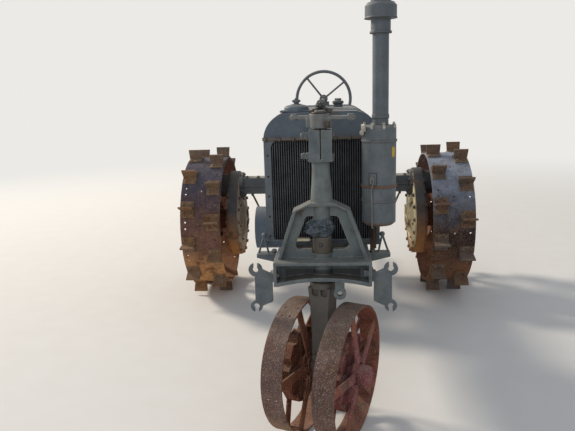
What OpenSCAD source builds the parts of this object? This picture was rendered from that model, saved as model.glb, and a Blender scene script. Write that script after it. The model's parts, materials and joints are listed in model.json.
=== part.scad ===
// Row-crop tractor of the 1930s on steel wheels, with twin front wheels under one steering post.
// Millimetres, +Z up, the front looks along -Y and the tractor's left side is +X.
// Places along Y are measured from the rear axle; tractor_frame() moves them to the shared origin.

/* [Wheelbase and parking] */
// Distance from the steering post to the rear axle
wheelbase = 2100; // [2000:5:2250]
// Angle of the front wheels as it stands, turned to its right
parked_steer = 22; // [0:1:40]
// How far the drawbar reaches behind the rear axle
rear_reach = 1050; // [950:10:1200]

/* [Front wheels] */
// Radius over the flat steel tread
front_r = 317.5; // [290:0.5:340]
// Width of the tread
front_w = 102; // [80:1:120]
// Thickness of the tread band
front_t = 8; // [6:0.5:12]
// Distance from the post to the inner edge of the tread, along the axle
front_gap = 70; // [62:1:85]
// Lean of each front wheel, closer together at the ground
camber = 1.4; // [0:0.1:3]
// Number of bent flat spokes in one front wheel
front_spokes = 5; // [4:1:8]
// Width of a flat spoke
front_spoke_w = 44; // [30:1:60]
// Thickness of a flat spoke
front_spoke_t = 8; // [6:0.5:12]
// Radius of the arms of the wheel's cast centre
spider_r = 180; // [160:1:200]
// Width of the wheel's cast centre, along the axle
spider_w = 44; // [36:1:50]
// Thickness of the cast centre's walls
spider_wall = 8; // [6:0.5:10]
// Radius of the flanges on the front hub
hub_flange_r = 76; // [68:1:86]
// Angle from a spoke to the free bolt holes of the tread beside it
tread_hole_turn = 11; // [9:0.5:14]
// Radius of the free bolt holes in the tread
tread_hole_r = 5.5; // [4:0.5:7]
// Radius of the front hub barrel
front_hub_r = 42; // [36:1:55]
// Radius of the stub shaft that a front wheel turns on
front_stub_r = 20; // [16:0.5:24]

/* [Rear wheels] */
// Radius over the steel rim, without lugs
rear_r = 508; // [480:1:540]
// Width of the rim
rear_w = 298; // [260:1:320]
// Thickness of the rim
rear_t = 10; // [8:0.5:14]
// Distance from the middle of the tractor to the inner edge of the rim
rear_gap = 778; // [770:1:820]
// Lugs in one row round the rim; the two rows are staggered
lugs_per_row = 12; // [8:1:16]
// Angle from a lug to the nearest lug of the other row
row_stagger = 11.15; // [8:0.05:15]
// Height of a lug above the rim
lug_h = 82; // [60:1:95]
// Width of a lug along the axle
lug_w = 96; // [80:1:110]
// Thickness of a lug's upright blade
lug_t = 14; // [10:0.5:20]
// Length of a lug's foot plate round the rim
lug_foot = 122; // [80:1:130]
// Thickness of a lug's foot plate
lug_foot_t = 9; // [6:0.5:12]
// Radius of the rear axle shaft
rear_axle_r = 38; // [32:1:46]
// Spokes in each of the two rows of a rear wheel
rear_spokes = 6; // [5:1:10]
// Radius of the rear hub's spoke flanges
rear_flange_r = 150; // [130:1:175]
// Radius of the free bolt holes in the rim
rim_hole_r = 7; // [5:0.5:9]

/* [Front bolster] */
// Height of the underside of the bolster's foot
foot_z = 752; // [740:1:770]
// Height of the foot casting
foot_h = 110; // [90:1:120]
// Half width of the foot
foot_half = 217; // [205:1:225]
// Length of the foot along the tractor
foot_len = 200; // [180:1:220]
// Distance from the front face of the foot to the steering post
foot_front = 100; // [90:1:110]
// Depth of the flanges along the edges of the frame's legs
leg_depth = 96; // [80:1:110]
// Thickness of the frame's web
web_t = 26; // [20:1:34]
// Thickness of the legs' flanges
leg_flange_t = 15; // [10:1:20]
// Diameter of the upper column
column_d = 78; // [74:1:90]
// Diameter of the column's root above the legs
column_root_d = 100; // [94:1:110]
// Height of the underside of the split clamp
clamp_z = 1300; // [1280:1:1320]
// Height of the split clamp
clamp_h = 136; // [120:1:140]

/* [Steering] */
// Radius of the steering post
post_r = 25; // [22:0.5:28]
// Height of the steering shaft
shaft_z = 1537; // [1532:1:1550]
// Radius of the steering shaft
shaft_r = 12.5; // [10:0.5:14]
// Place of the steering wheel ahead of the rear axle
wheel_ahead = 310; // [250:5:400]
// Radius over the steering wheel's rim
steer_wheel_r = 205; // [190:1:220]
// Radius of the steering wheel's rim section
steer_rim_r = 11; // [8:0.5:14]
// Pitch radius of the bevel sector on the post
sector_r = 54; // [50:1:60]
// Pitch radius of the bevel pinion on the shaft
pinion_r = 18; // [16:0.5:20]
// Length of the bevel teeth
tooth_len = 18; // [14:1:20]

/* [Radiator and hood] */
// Width over the radiator and the hood
hood_w = 556; // [540:2:570]
// Height of the hood's flat top
hood_top = 1503; // [1495:1:1508]
// Radius of the hood's shoulders
shoulder_r = 130; // [100:1:150]
// Distance from the steering post to the radiator's front face
radiator_behind = 240; // [230:1:250]
// Depth of the radiator
radiator_depth = 120; // [100:1:130]
// Height of the underside of the top tank
top_tank_z = 1371; // [1360:1:1380]
// Height of the top of the lower tank
lower_tank_z = 863; // [862:1:880]
// Width of each side strip of the radiator
strip_w = 36; // [30:1:42]
// Vertical fins across the core
core_fins = 44; // [20:1:60]
// Height of the lower edge of the fuel tank under the hood
tank_low_z = 1296; // [1285:1:1310]
// Length of the fuel tank
tank_len = 975; // [900:5:1000]

/* [Air cleaner] */
// Distance from the hood's side in to the middle of the cleaner
cleaner_in = 16; // [8:1:22]
// Distance from the steering post back to the cleaner
cleaner_behind = 110; // [100:1:120]
// Radius of the cleaner's body
cleaner_r = 77; // [72:1:80]
// Height of the underside of the cleaner
cleaner_low_z = 988; // [970:1:1000]
// Height of the top of the cleaner's body
cleaner_top_z = 1442; // [1430:1:1450]
// Radius of the tall intake pipe
stack_r = 36; // [32:1:40]
// Height of the top of the intake pipe
stack_top_z = 1898; // [1850:1:1920]
// Radius of the bowl on the intake pipe
bowl_r = 69; // [60:1:75]
// Height of the bowl
bowl_h = 66; // [55:1:75]

/* [Rear end] */
// Height of the upper shafts above the rear axle
drop = 280; // [275:1:290]
// Radius of the drop case round the rear axle
case_r = 290; // [270:1:300]
// Radius of the drop case round the upper shaft
case_top_r = 116; // [105:1:125]
// Distance from the middle to the drop case's inner cover
case_in = 690; // [680:1:692]
// Distance from the middle to the drop case's outer face
case_out = 772; // [765:1:774]
// Thickness of the drop case's inner cover
cover_t = 10; // [8:1:14]
// Height of the box-like axle tube
tube_h = 127; // [110:1:140]
// Depth of the box-like axle tube
tube_depth = 130; // [110:1:140]
// Half width of the rear housing
housing_half = 170; // [160:1:180]
// Radius of the belt pulley
pulley_r = 149; // [140:1:160]
// Width of the belt pulley
pulley_w = 180; // [160:1:190]
// Place of the belt pulley ahead of the rear axle
pulley_ahead = 575; // [560:1:590]
// Thickness of the drawbar
drawbar_t = 22; // [18:1:28]
// Radius of the hitch hole
hitch_r = 13; // [10:0.5:16]
// Radius of the power take-off shaft
pto_r = 17.5; // [15:0.5:20]

/* [Hidden] */
$fn = 48;

// Clearances
run_fit = 0.05;
seat_gap = 0.3;
eps = 1;

// Ground contact: each front wheel stands on its outer edge, each rear wheel on two lugs
front_axle_z = (front_gap + front_w) * sin(camber) + front_r * cos(camber);
lug_pitch = 360 / lugs_per_row;
stand_angle = (lug_pitch - row_stagger) / 2;
tip_r = rear_r + lug_h;
rear_axle_z = tip_r * cos(stand_angle) + lug_t / 2 * sin(stand_angle);
tube_z = rear_axle_z + drop;

// The origin lies under the middle of the outline seen from above
steer_side = sin(parked_steer) * cos(camber);
front_reach = wheelbase + (front_gap + front_w) * steer_side + front_r * sqrt(1 - steer_side * steer_side);
origin_y = (front_reach - rear_reach) / 2;

// Places along the tractor, from the radiator back to the engine's end under the hood
rad_front = radiator_behind - wheelbase;
rad_back = rad_front + radiator_depth;
tank_front = rad_back + seat_gap;
tank_back = tank_front + tank_len;
engine_front = rad_back + 100;
bell_depth = 150;
bell_front = tank_back - bell_depth - 45;

grey = "#62676a";
dark = "#2f3133";
rust = "#6b4630";
orange = "#8a5130";
red = "#7c3b36";
cream = "#b9ad80";

// Moves a piece from the rear axle's frame to the shared origin
module tractor_frame() translate([0, origin_y, 0]) children();

// Puts a piece at the steering post, turned as the wheels are parked
module at_post(z = 0) translate([0, -wheelbase, z]) rotate([0, 0, -parked_steer]) children();

// Extrudes an outline drawn in X and Z to the rear, from y to y + t
module plate_xz(y, t) translate([0, y + t, 0]) rotate([90, 0, 0]) linear_extrude(t) children();

// Extrudes an outline drawn in Y and Z sideways, from x to x + t
module plate_yz(x, t) translate([x, 0, 0]) rotate([90, 0, 90]) linear_extrude(t) children();

// A block between two corners
module block(low, high) translate(low) cube(high - low);

// Round bars along X and along Y
module bar_x(p, r, l) translate(p) rotate([0, 90, 0]) cylinder(r = r, h = l);
module bar_y(p, r, l) translate(p) rotate([-90, 0, 0]) cylinder(r = r, h = l);

// A round bar between two points
module rod(a, b, r) {
    d = b - a;
    translate(a) rotate([0, acos(d.z / norm(d)), atan2(d.y, d.x)]) cylinder(r = r, h = norm(d));
}

// Two circles and the straight sides that touch both, from the origin to height d
module pear(r_low, r_high, d) {
    a = asin((r_low - r_high) / d);
    circle(r_low);
    translate([0, d]) circle(r_high);
    polygon([[r_low * cos(a), r_low * sin(a)], [r_high * cos(a), d + r_high * sin(a)],
        [-r_high * cos(a), d + r_high * sin(a)], [-r_low * cos(a), r_low * sin(a)]]);
}

// Outline of the bolster's legs, from a table of heights and half widths
leg_rows = [
    // [height, half width]
    [foot_z, foot_half],
    [foot_z + 63, foot_half],
    [foot_z + 208, foot_half - 47],
    [foot_z + 329, foot_half - 89],
    [foot_z + 367, column_root_d / 2],
];
legs_top = leg_rows[len(leg_rows) - 1][0];
module leg_outline(inset = 0) intersection() {
    polygon(concat(
        [for (r = leg_rows) [r[1] - inset, r[0]]],
        [for (i = [len(leg_rows) - 1:-1:0]) [inset - leg_rows[i][1], leg_rows[i][0]]]));
    translate([-foot_half, foot_z - inset]) square([2 * foot_half, legs_top - foot_z]);
}

// The opening between the legs, with round corners
window_r = 22;
module leg_window() {
    low = foot_z + foot_h + 38;
    high = foot_z + foot_h + 192;
    for (s = [-1, 1]) {
        translate([s * (120 - window_r), low + window_r]) circle(window_r);
        translate([s * (78 - window_r), high - window_r]) circle(window_r);
    }
    polygon([[-120, low + window_r], [-120 + window_r, low], [120 - window_r, low], [120, low + window_r],
        [78, high - window_r], [78 - window_r, high], [window_r - 78, high], [-78, high - window_r]]);
}

// Lower flange of the foot, bowed upwards between the frame's sides
arch_r = 850;
arch_rise = 24;
arch_t = 16;
module foot_arch() intersection() {
    translate([-foot_half, foot_z]) square([2 * foot_half, 60]);
    translate([0, foot_z + arch_rise - arch_r]) difference() {
        circle(arch_r + arch_t, $fn = 360);
        circle(arch_r, $fn = 360);
    }
}

module bolster() color(grey) {
    y = -wheelbase;
    front = y - foot_front;
    top = foot_z + foot_h;
    wall = 13;
    back = front + foot_len;
    post_boss_r = 52;
    pocket = 74;
    pocket_round = 30;
    nut = 26;
    eye_r = 27;
    eye_hole_r = 12;
    eye_t = 22;
    eye = [76, front + 2, foot_z - 34];
    difference() {
        union() {
            plate_xz(y - web_t / 2, web_t) difference() {
                leg_outline();
                leg_window();
            }
            plate_xz(y - leg_depth / 2, leg_depth) difference() {
                leg_outline();
                leg_outline(leg_flange_t);
            }
            // foot: a pocket with a round back under the top flange, closed behind
            plate_xz(front, foot_len) foot_arch();
            difference() {
                block([-foot_half, front, foot_z + 30], [foot_half, back, top]);
                plate_yz(wall - foot_half, 2 * (foot_half - wall)) {
                    translate([front - eps, foot_z]) square([pocket - pocket_round + eps, foot_h - wall]);
                    translate([front, foot_z]) square([pocket, foot_h - wall - pocket_round]);
                    translate([front + pocket - pocket_round, top - wall - pocket_round])
                        circle(pocket_round);
                }
            }
            plate_xz(front + pocket, foot_len - pocket) difference() {
                translate([-foot_half, foot_z]) square([2 * foot_half, 31]);
                translate([0, foot_z + arch_rise - arch_r]) circle(arch_r + 2, $fn = 360);
            }
            for (s = [-1, 1]) scale([s, 1, 1])
                block([foot_half - wall, front, foot_z], [foot_half, back, foot_z + 31]);
            intersection() {
                translate([0, y, foot_z]) cylinder(r = post_boss_r, h = foot_h);
                block([-60, front, foot_z], [60, back, top]);
            }
            // bosses round the post, column and its root
            translate([0, y, top]) cylinder(r = 44, h = 22);
            translate([0, y, top + 172]) cylinder(d = column_d, h = clamp_z - top - 172);
            translate([0, y, legs_top]) cylinder(r1 = column_root_d / 2, r2 = column_d / 2, h = 140);
            // square nut in the pocket, and an eye under the foot
            translate([foot_half - wall - 20, front + 22, foot_z + 40]) cube([20 + eps, nut, nut]);
            difference() {
                plate_xz(eye.y, eye_t) {
                    translate([eye.x, eye.z]) circle(eye_r);
                    translate([eye.x - 20, eye.z]) square([40, foot_z + 26 - eye.z]);
                }
                bar_y(eye - [0, eps, 0], eye_hole_r, eye_t + 2 * eps);
            }
        }
        // room for the post's collar
        translate([0, y, top + 22]) cylinder(r = 48, h = 60);
        translate([0, y, foot_z - eps]) cylinder(r = post_r + run_fit, h = clamp_z - foot_z + 2 * eps);
    }
}

module column_clamp() color(grey) {
    slot = 5;
    difference() {
        union() {
            translate([0, -wheelbase, clamp_z]) cylinder(r = 58, h = 12);
            translate([-50, -wheelbase - 55, clamp_z]) cube([100, 110, clamp_h]);
            for (z = [clamp_z + 24, clamp_z + clamp_h - 24])
                bar_y([-60, -wheelbase - 40, z], 13, 34);
            for (z = [clamp_z + 24, clamp_z + clamp_h - 24])
                block([-60, -wheelbase - 40, z - 13], [-48, -wheelbase - 6, z + 13]);
        }
        translate([0, -wheelbase, clamp_z - eps]) cylinder(r = post_r + run_fit, h = clamp_h + 2 * eps);
        block([-slot / 2, -wheelbase - 56, clamp_z - eps], [slot / 2, -wheelbase, clamp_z + clamp_h + eps]);
    }
}

// Frame rails: channels that open inwards
rail_t = 11;
rail_h = 96;
rail_flange = 62;
rail_y = -wheelbase - foot_front + foot_len;
module frame_rails() color(grey) {
    z = foot_z + 7;
    for (s = [-1, 1]) scale([s, 1, 1]) {
        block([foot_half - rail_t, rail_y, z], [foot_half, bell_front + 60, z + rail_h]);
        for (dz = [0, rail_h - rail_t])
            block([foot_half - rail_flange, rail_y, z + dz],
                [foot_half, bell_front, z + dz + rail_t]);
    }
}

// Plates at the foot's ends that implements hook on to
hook_r = 31;
hook_notch_r = 13;
hook_x = foot_half + 87;
hook_top_z = foot_z + 65;
hook_low_z = foot_z - 108;
bracket_t = 14;
module side_brackets() color(grey) {
    y = -wheelbase - 50;
    for (s = [-1, 1]) scale([s, 1, 1]) {
        plate_xz(y, bracket_t) difference() {
            union() {
                polygon([[foot_half + 11, foot_z - 86], [foot_half + 11, foot_z + 44],
                    [hook_x - hook_r, hook_top_z], [hook_x + 4, foot_z + 38],
                    [foot_half + 92, foot_z - 88], [hook_x - 26, hook_low_z]]);
                translate([hook_x, hook_top_z]) circle(hook_r);
                translate([hook_x, hook_low_z]) circle(hook_r - 3);
            }
            translate([hook_x, hook_top_z]) circle(hook_notch_r);
            translate([hook_x - 9, hook_top_z]) square([18, 60]);
            translate([hook_x, hook_low_z]) circle(hook_notch_r);
            translate([hook_x - 9, hook_low_z - 60]) square([18, 60]);
        }
        block([foot_half, y, foot_z + 6], [foot_half + 14, y + 100, foot_z + 44]);
        block([foot_half, y, foot_z + 6], [foot_half + 40, y + bracket_t, foot_z + 40]);
    }
}

// Arms beside the radiator with ball-topped standards on them
arm_y = 160 - wheelbase;
arm_top_z = foot_z + 78;
module side_arms() color(grey) for (s = [-1, 1]) scale([s, 1, 1]) {
    plate_xz(arm_y, 60) polygon([[foot_half, arm_top_z - 44], [foot_half, arm_top_z],
        [foot_half + 105, arm_top_z], [foot_half + 105, arm_top_z - 18]]);
    apex = [foot_half + 68, arm_y + 30, arm_top_z + 88];
    rod([foot_half + 50, arm_y + 30, arm_top_z - 2], apex, 5);
    rod([foot_half + 98, arm_y + 30, arm_top_z - 2], apex, 5);
    translate(apex) sphere(13);
}

// Outline of the radiator's top tank and of the hood, down to height z
module hood_outline(z) intersection() {
    half = hood_w / 2;
    zc = hood_top - shoulder_r;
    union() {
        translate([-half, 0]) square([2 * half, zc]);
        for (s = [-1, 1]) translate([s * (half - shoulder_r), zc]) circle(shoulder_r);
        translate([shoulder_r - half, 0]) square([2 * (half - shoulder_r), hood_top]);
    }
    translate([-half, z]) square([2 * half, hood_top]);
}

core_half = hood_w / 2 - strip_w;

module radiator_core() color(dark) {
    pitch = 2 * core_half / core_fins;
    fin = 3.2;
    translate([0, 0, lower_tank_z]) linear_extrude(top_tank_z - lower_tank_z) union() {
        translate([-core_half, rad_front + 14]) square([2 * core_half, radiator_depth - 24]);
        for (i = [0:core_fins - 1])
            translate([-core_half + (i + 0.5) * pitch - fin / 2, rad_front + 7]) square([fin, 8]);
    }
}

// Side strips, with round corners in front of the core at their top and foot
corner_r = 36;
corner_t = 6;
module radiator_sides() color(grey) for (s = [-1, 1]) scale([s, 1, 1]) {
    block([core_half + seat_gap, rad_front, lower_tank_z], [hood_w / 2, rad_back, top_tank_z]);
    for (low = [true, false]) plate_xz(rad_front, corner_t) difference() {
        translate([core_half - corner_r, low ? lower_tank_z : top_tank_z - corner_r])
            square([corner_r + 5, corner_r]);
        translate([core_half - corner_r, low ? lower_tank_z + corner_r : top_tank_z - corner_r])
            circle(corner_r);
    }
}

module radiator_base() color(grey) {
    block([-hood_w / 2, rad_front, foot_z + 103.5], [hood_w / 2, rad_back, lower_tank_z]);
    block([-hood_w / 2 - 4, rad_front - 10, lower_tank_z - 8],
        [hood_w / 2 + 4, rad_front, lower_tank_z + 20]);
}

module radiator_top() color(grey) {
    plate_xz(rad_front, radiator_depth) hood_outline(top_tank_z);
    block([-hood_w / 2 - 4, rad_front - 6, top_tank_z], [hood_w / 2 + 4, rad_front, top_tank_z + 16]);
}

module radiator_cap() color(grey) translate([-118, rad_front + 62, hood_top]) {
    cylinder(r = 52, h = 14);
    cylinder(r = 21, h = 28);
    cylinder(r = 27, h = 22);
    rotate([0, 0, 20]) translate([-30, -6, 20]) cube([60, 12, 12]);
}

stand_front_y = rad_front + 20;
module stand_front() difference() {
    union() {
        block([-30, stand_front_y, hood_top], [30, stand_front_y + 60, hood_top + 8]);
        bar_y([0, stand_front_y + 8, shaft_z], 22, 44);
        block([-22, stand_front_y + 8, hood_top], [22, stand_front_y + 52, shaft_z]);
    }
    bar_y([0, stand_front_y - eps, shaft_z], shaft_r + run_fit, 80);
}

module fuel_tank() color(grey) plate_xz(tank_front, tank_len) hood_outline(tank_low_z);

module fuel_cap() color(grey) translate([91, tank_front + 540, hood_top]) {
    cylinder(r = 26, h = 22);
    cylinder(r = 31, h = 14);
    translate([0, 0, 22]) cylinder(r1 = 29, r2 = 20, h = 26);
}

housing_top_z = tube_z + 106;
clutch_top_z = 938;
module stand_rear() difference() {
    union() {
        block([-40, tank_back + seat_gap, clutch_top_z + seat_gap], [40, tank_back + 24, shaft_z - 10]);
        bar_y([0, tank_back + seat_gap, shaft_z], 24, 46);
        block([-24, tank_back + seat_gap, shaft_z - 60], [24, tank_back + 50, shaft_z]);
        block([-90, tank_back + seat_gap, clutch_top_z + seat_gap], [90, tank_back + 70, clutch_top_z + 20]);
    }
    bar_y([0, tank_back, shaft_z], shaft_r + run_fit, 60);
}

module shaft_stands() color(grey) {
    stand_front();
    stand_rear();
}

// Engine: heavy block with its head, pan and side pieces
engine_back = bell_front;
block_half = 115;
block_low_z = foot_z - 10;
head_z = 1076;
module engine_block() color(grey) difference() {
    union() {
        block([-block_half, engine_front, block_low_z], [block_half, engine_back, head_z]);
        block([-foot_half + rail_flange, engine_front + 60, block_low_z],
            [foot_half - rail_flange, engine_back - 60, block_low_z + 98]);
        bar_y([0, engine_front - 30, block_low_z + 60], 34, 32);
    }
}

first_cylinder_y = engine_front + 120;
cylinder_pitch = (engine_back - 119 - first_cylinder_y) / 3;
plug_r = 10;
fan_y = rad_back + 22;
fan_z = head_z + 42;
fan_shaft_r = 12;
module cylinder_head() color(grey) {
    difference() {
        union() {
            block([-block_half - 5, engine_front + 10, head_z],
                [block_half + 5, engine_back - 10, head_z + 84]);
            bar_y([0, engine_front - 28, fan_z], 28, 60);
        }
        bar_y([0, engine_front - 29, fan_z], fan_shaft_r + run_fit, 60);
    }
    plate_xz(engine_front + 40, engine_back - engine_front - 80) {
        translate([-72, head_z + 84]) square([144, 50]);
        translate([-52, head_z + 84]) square([104, 70]);
        for (s = [-1, 1]) translate([s * 52, head_z + 134]) circle(20);
    }
    // spark plugs on the right, nuts on the valve cover
    for (i = [0:3]) {
        bar_x([-block_half - 42, first_cylinder_y + i * cylinder_pitch, head_z + 44], plug_r, 38);
        bar_x([-block_half - 26, first_cylinder_y + i * cylinder_pitch, head_z + 44], plug_r + 5, 10);
        translate([0, first_cylinder_y + i * cylinder_pitch, head_z + 153]) cylinder(r = plug_r, h = 14);
    }
}

module oil_pan() color(grey) plate_xz(engine_front + 10, engine_back - engine_front - 10) {
    pan_half = block_half - 27;
    pan_z = block_low_z - 142;
    polygon([[-block_half, block_low_z], [block_half, block_low_z], [pan_half, pan_z], [-pan_half, pan_z]]);
}

module manifold() color(rust) {
    x = block_half + 5;
    z = head_z + 40;
    bar_y([x + 42, engine_front + 90, z], 30, engine_back - engine_front - 180);
    for (i = [0:3])
        bar_x([x, first_cylinder_y + i * cylinder_pitch, z], 26, 42);
    translate([x + 42, engine_front + 330, z - 170]) cylinder(r = 27, h = 170);
    block([x + 2, engine_front + 290, z - 250], [x + 88, engine_front + 375, z - 160]);
    rod([x + 42, engine_back - 140, z], [foot_half + 30, engine_back + 100, z - 256], 26);
}

module magneto() color(dark) {
    drive_z = block_low_z + 188;
    drive_y = engine_front + 130;
    magneto_y = engine_front + 250;
    block([-block_half - 90, magneto_y, drive_z - 50], [-block_half, magneto_y + 150, drive_z + 80]);
    bar_y([-block_half - 45, drive_y, drive_z], 40, magneto_y - drive_y);
    block([-block_half - 60, drive_y - 70, drive_z - 68], [-block_half, drive_y, drive_z + 60]);
}

cleaner_x = hood_w / 2 - cleaner_in;
cleaner_y = cleaner_behind - wheelbase;
module air_cleaner() color(grey) {
    translate([cleaner_x, cleaner_y, 0]) {
        translate([0, 0, cleaner_low_z + 12]) cylinder(r = cleaner_r, h = cleaner_top_z - cleaner_low_z - 22);
        translate([0, 0, cleaner_low_z]) cylinder(r1 = cleaner_r - 14, r2 = cleaner_r, h = 12);
        translate([0, 0, cleaner_top_z - 10]) cylinder(r1 = cleaner_r, r2 = cleaner_r - 10, h = 10);
        for (z = [cleaner_low_z + 110, cleaner_low_z + 178, cleaner_top_z - 73])
            translate([0, 0, z]) cylinder(r = cleaner_r + 4, h = 9);
    }
    // straps to the radiator
    for (z = [cleaner_low_z + 240, cleaner_top_z - 50])
        block([hood_w / 2 - 34, cleaner_y + 50, z], [hood_w / 2 - 6, rad_front - seat_gap, z + 30]);
}

module air_stack() color(grey) translate([cleaner_x + 6, cleaner_y, 0]) {
    translate([0, 0, cleaner_top_z + seat_gap]) cylinder(r = stack_r, h = stack_top_z - 57 - cleaner_top_z);
    translate([0, 0, stack_top_z - 57]) cylinder(r = stack_r + 7, h = 57);
    translate([0, 0, stack_top_z - 62]) cylinder(r = stack_r + 12, h = 9);
    translate([0, 0, stack_top_z]) cylinder(r1 = bowl_r + 3, r2 = bowl_r, h = 6);
    translate([0, 0, stack_top_z + 6]) cylinder(r = bowl_r, h = bowl_h - 20);
    translate([0, 0, stack_top_z + bowl_h - 14]) cylinder(r1 = bowl_r, r2 = bowl_r - 12, h = 14);
    translate([0, 0, stack_top_z + bowl_h]) cylinder(r = 44, h = 30);
    translate([0, 0, stack_top_z + bowl_h + 30]) cylinder(r1 = 44, r2 = 30, h = 10);
}

pipe_r = 24;
pipe_x = hood_w / 2 + pipe_r + 8;
pipe_z = 1230;
module air_pipe() color(grey) {
    y0 = cleaner_y + cleaner_r - 16;
    y1 = engine_front + 330;
    x1 = block_half + 95;
    difference() {
        union() {
            bar_y([pipe_x, y0, pipe_z], pipe_r, rad_back + 60 - y0);
            translate([pipe_x, rad_back + 60, pipe_z]) sphere(pipe_r);
            rod([pipe_x, rad_back + 60, pipe_z], [x1 + 20, y1, head_z - 160], pipe_r);
        }
        translate([cleaner_x, cleaner_y, 0]) cylinder(r = cleaner_r + seat_gap, h = 2000);
        block([0, y1 - 200, 0], [x1 - 2, y1 + 200, 2000]);
    }
}

// Clutch housing between the engine and the rear housing, with the pulley's side box
housing_front = -260;
housing_back = 230;
belt_z = rear_axle_z + 62;
pulley_shaft_r = 18;
pulley_inner_x = -310;
module clutch_housing() color(grey) {
    plate_xz(engine_back, bell_depth) {
        translate([0, 830]) circle(205);
    }
    plate_xz(engine_back + bell_depth, housing_front - engine_back - bell_depth) {
        polygon([[-130, 620], [130, 620], [150, 700], [150, 860], [110, clutch_top_z],
            [-110, clutch_top_z], [-150, 860], [-150, 700]]);
    }
    bar_x([pulley_inner_x + 10, -pulley_ahead, belt_z], 62, 160);
    bar_x([pulley_inner_x - 35, -pulley_ahead, belt_z], pulley_shaft_r, 60);
}

module rear_housing() color(grey) {
    z_low = rear_axle_z + 40;
    plate_xz(housing_front, housing_back - housing_front) {
        polygon([[-120, z_low], [120, z_low], [housing_half, z_low + 70], [housing_half, tube_z + 60],
            [120, housing_top_z - 30], [-120, housing_top_z - 30], [-housing_half, tube_z + 60],
            [-housing_half, z_low + 70]]);
    }
    block([-90, housing_front + 60, housing_top_z - 31], [90, housing_back - 60, housing_top_z - 10]);
    bar_y([0, housing_back, z_low + 90], 48, 26);
}

module axle_tubes() color(grey) for (s = [-1, 1]) scale([s, 1, 1]) {
    x0 = housing_half;
    x1 = case_in - cover_t - seat_gap;
    block([x0, -tube_depth / 2, tube_z - tube_h / 2], [x1, tube_depth / 2, tube_z + tube_h / 2]);
    block([x0, -tube_depth / 2 - 8, tube_z - 6], [x1, tube_depth / 2 + 8, tube_z + 6]);
    bar_x([x1 - 22, 0, tube_z], case_top_r - 12, 22);
    bar_x([x0, 0, tube_z], case_top_r - 4, 26);
}

module drop_cases() color(grey) for (s = [-1, 1]) scale([s, 1, 1]) difference() {
    union() {
        plate_yz(case_in, case_out - case_in - 14) translate([0, rear_axle_z]) pear(case_r, case_top_r, drop);
        plate_yz(case_out - 14 - eps, 14 + eps)
            translate([0, rear_axle_z]) pear(case_r - 14, case_top_r - 14, drop);
        // brake drum on the end of the upper shaft
        bar_x([case_out, 0, tube_z], 92, 70);
    }
    bar_x([case_in + 20, 0, rear_axle_z], rear_axle_r + run_fit, 100);
}

module drop_covers() color(cream) for (s = [-1, 1]) scale([s, 1, 1]) difference() {
    union() {
        plate_yz(case_in - cover_t, cover_t) translate([0, rear_axle_z])
            pear(case_r - 6, case_top_r - 6, drop);
        translate([case_in - cover_t, 0, rear_axle_z]) rotate([0, -90, 0])
            cylinder(r1 = 150, r2 = 96, h = 36);
    }
    // two windows in the bearing housing
    for (z = [14, -76])
        block([case_in - cover_t - 40, -45, rear_axle_z + z], [case_in - 4, 75, rear_axle_z + z + 62]);
}

module platform() color(rust) {
    z = rear_axle_z + 62;
    block([-300, housing_back + 30, z], [300, housing_back + 330, z + 6]);
    for (s = [-1, 1]) block([s * 60 - 8, housing_back, z - 30], [s * 60 + 8, housing_back + 330, z]);
}

seat_z = tube_z + 250;
seat_y = 520;
module seat_spring() color(dark) {
    low_z = housing_top_z - 10 + seat_gap;
    plate_yz(-35, 70) polygon([[housing_back - 90, low_z], [housing_back + 20, low_z],
        [seat_y + 40, seat_z - 12], [seat_y + 40, seat_z], [seat_y - 60, seat_z],
        [housing_back - 10, housing_top_z + 6], [housing_back - 90, housing_top_z + 6]]);
}

module seat() color(rust) {
    r = 470;
    t = 5;
    depth = 62;
    translate([0, seat_y, seat_z + seat_gap]) {
        rotate_extrude($fn = 96) intersection() {
            translate([0, r]) difference() {
                circle(r, $fn = 360);
                circle(r - t, $fn = 360);
            }
            square([2 * r, depth]);
        }
        cylinder(r = 60, h = t);
    }
}

module levers() color(dark) {
    lever_y = -430;
    pivot_z = clutch_top_z + 20;
    knob = [30, lever_y + 80, clutch_top_z + 322];
    for (x = [0, 80]) {
        translate([x, lever_y, clutch_top_z + seat_gap]) cylinder(r = 26, h = 20 - seat_gap);
        translate([x, lever_y, pivot_z]) sphere(18);
    }
    rod([0, lever_y, pivot_z], knob, 8);
    translate(knob) sphere(20);
    rod([80, lever_y, pivot_z], [80, lever_y - 70, clutch_top_z + 142], 8);
}

drawbar_z = 400;
cross_bar_z = drawbar_z + drawbar_t + seat_gap;
cross_bar_y = 470;
module drawbar() color(dark) {
    z = drawbar_z;
    front = -150;
    cross_half = 570;
    difference() {
        block([-38, front, z], [38, rear_reach, z + drawbar_t]);
        translate([0, rear_reach - 38, z - eps]) cylinder(r = hitch_r, h = drawbar_t + 2 * eps);
    }
    block([-cross_half, cross_bar_y - 30, cross_bar_z], [cross_half, cross_bar_y + 30, cross_bar_z + 20]);
    // hanger under the housing
    block([-30, front, z + drawbar_t], [30, front + 40, rear_axle_z + 40 - seat_gap]);
}

module stays() color(dark) for (s = [-1, 1]) {
    low = [s * 545, cross_bar_y, cross_bar_z + 20 + seat_gap];
    high = [s * 594, 10, tube_z - tube_h / 2 - seat_gap];
    eye = 15;
    bar_x(low + [-9, 0, eye], eye, 18);
    bar_x(high + [-9, 0, -eye], eye, 18);
    rod(low + [0, 0, eye], high + [0, 0, -eye], 8);
}

module pto_shaft() color(dark) translate([0, housing_back + 26, rear_axle_z + 130])
    rotate([-90, 0, 0]) cylinder(r = pto_r, h = 110);

// Steered pieces: the post with its sector and cross arm, and the spindle casting with its axle
post_low_z = 560;
cap_low_z = clamp_z + clamp_h + 7;
cap_h = 60;
apex_gap = sqrt(sector_r * sector_r + pinion_r * pinion_r);
inner_ratio = (apex_gap - tooth_len) / apex_gap;

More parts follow.
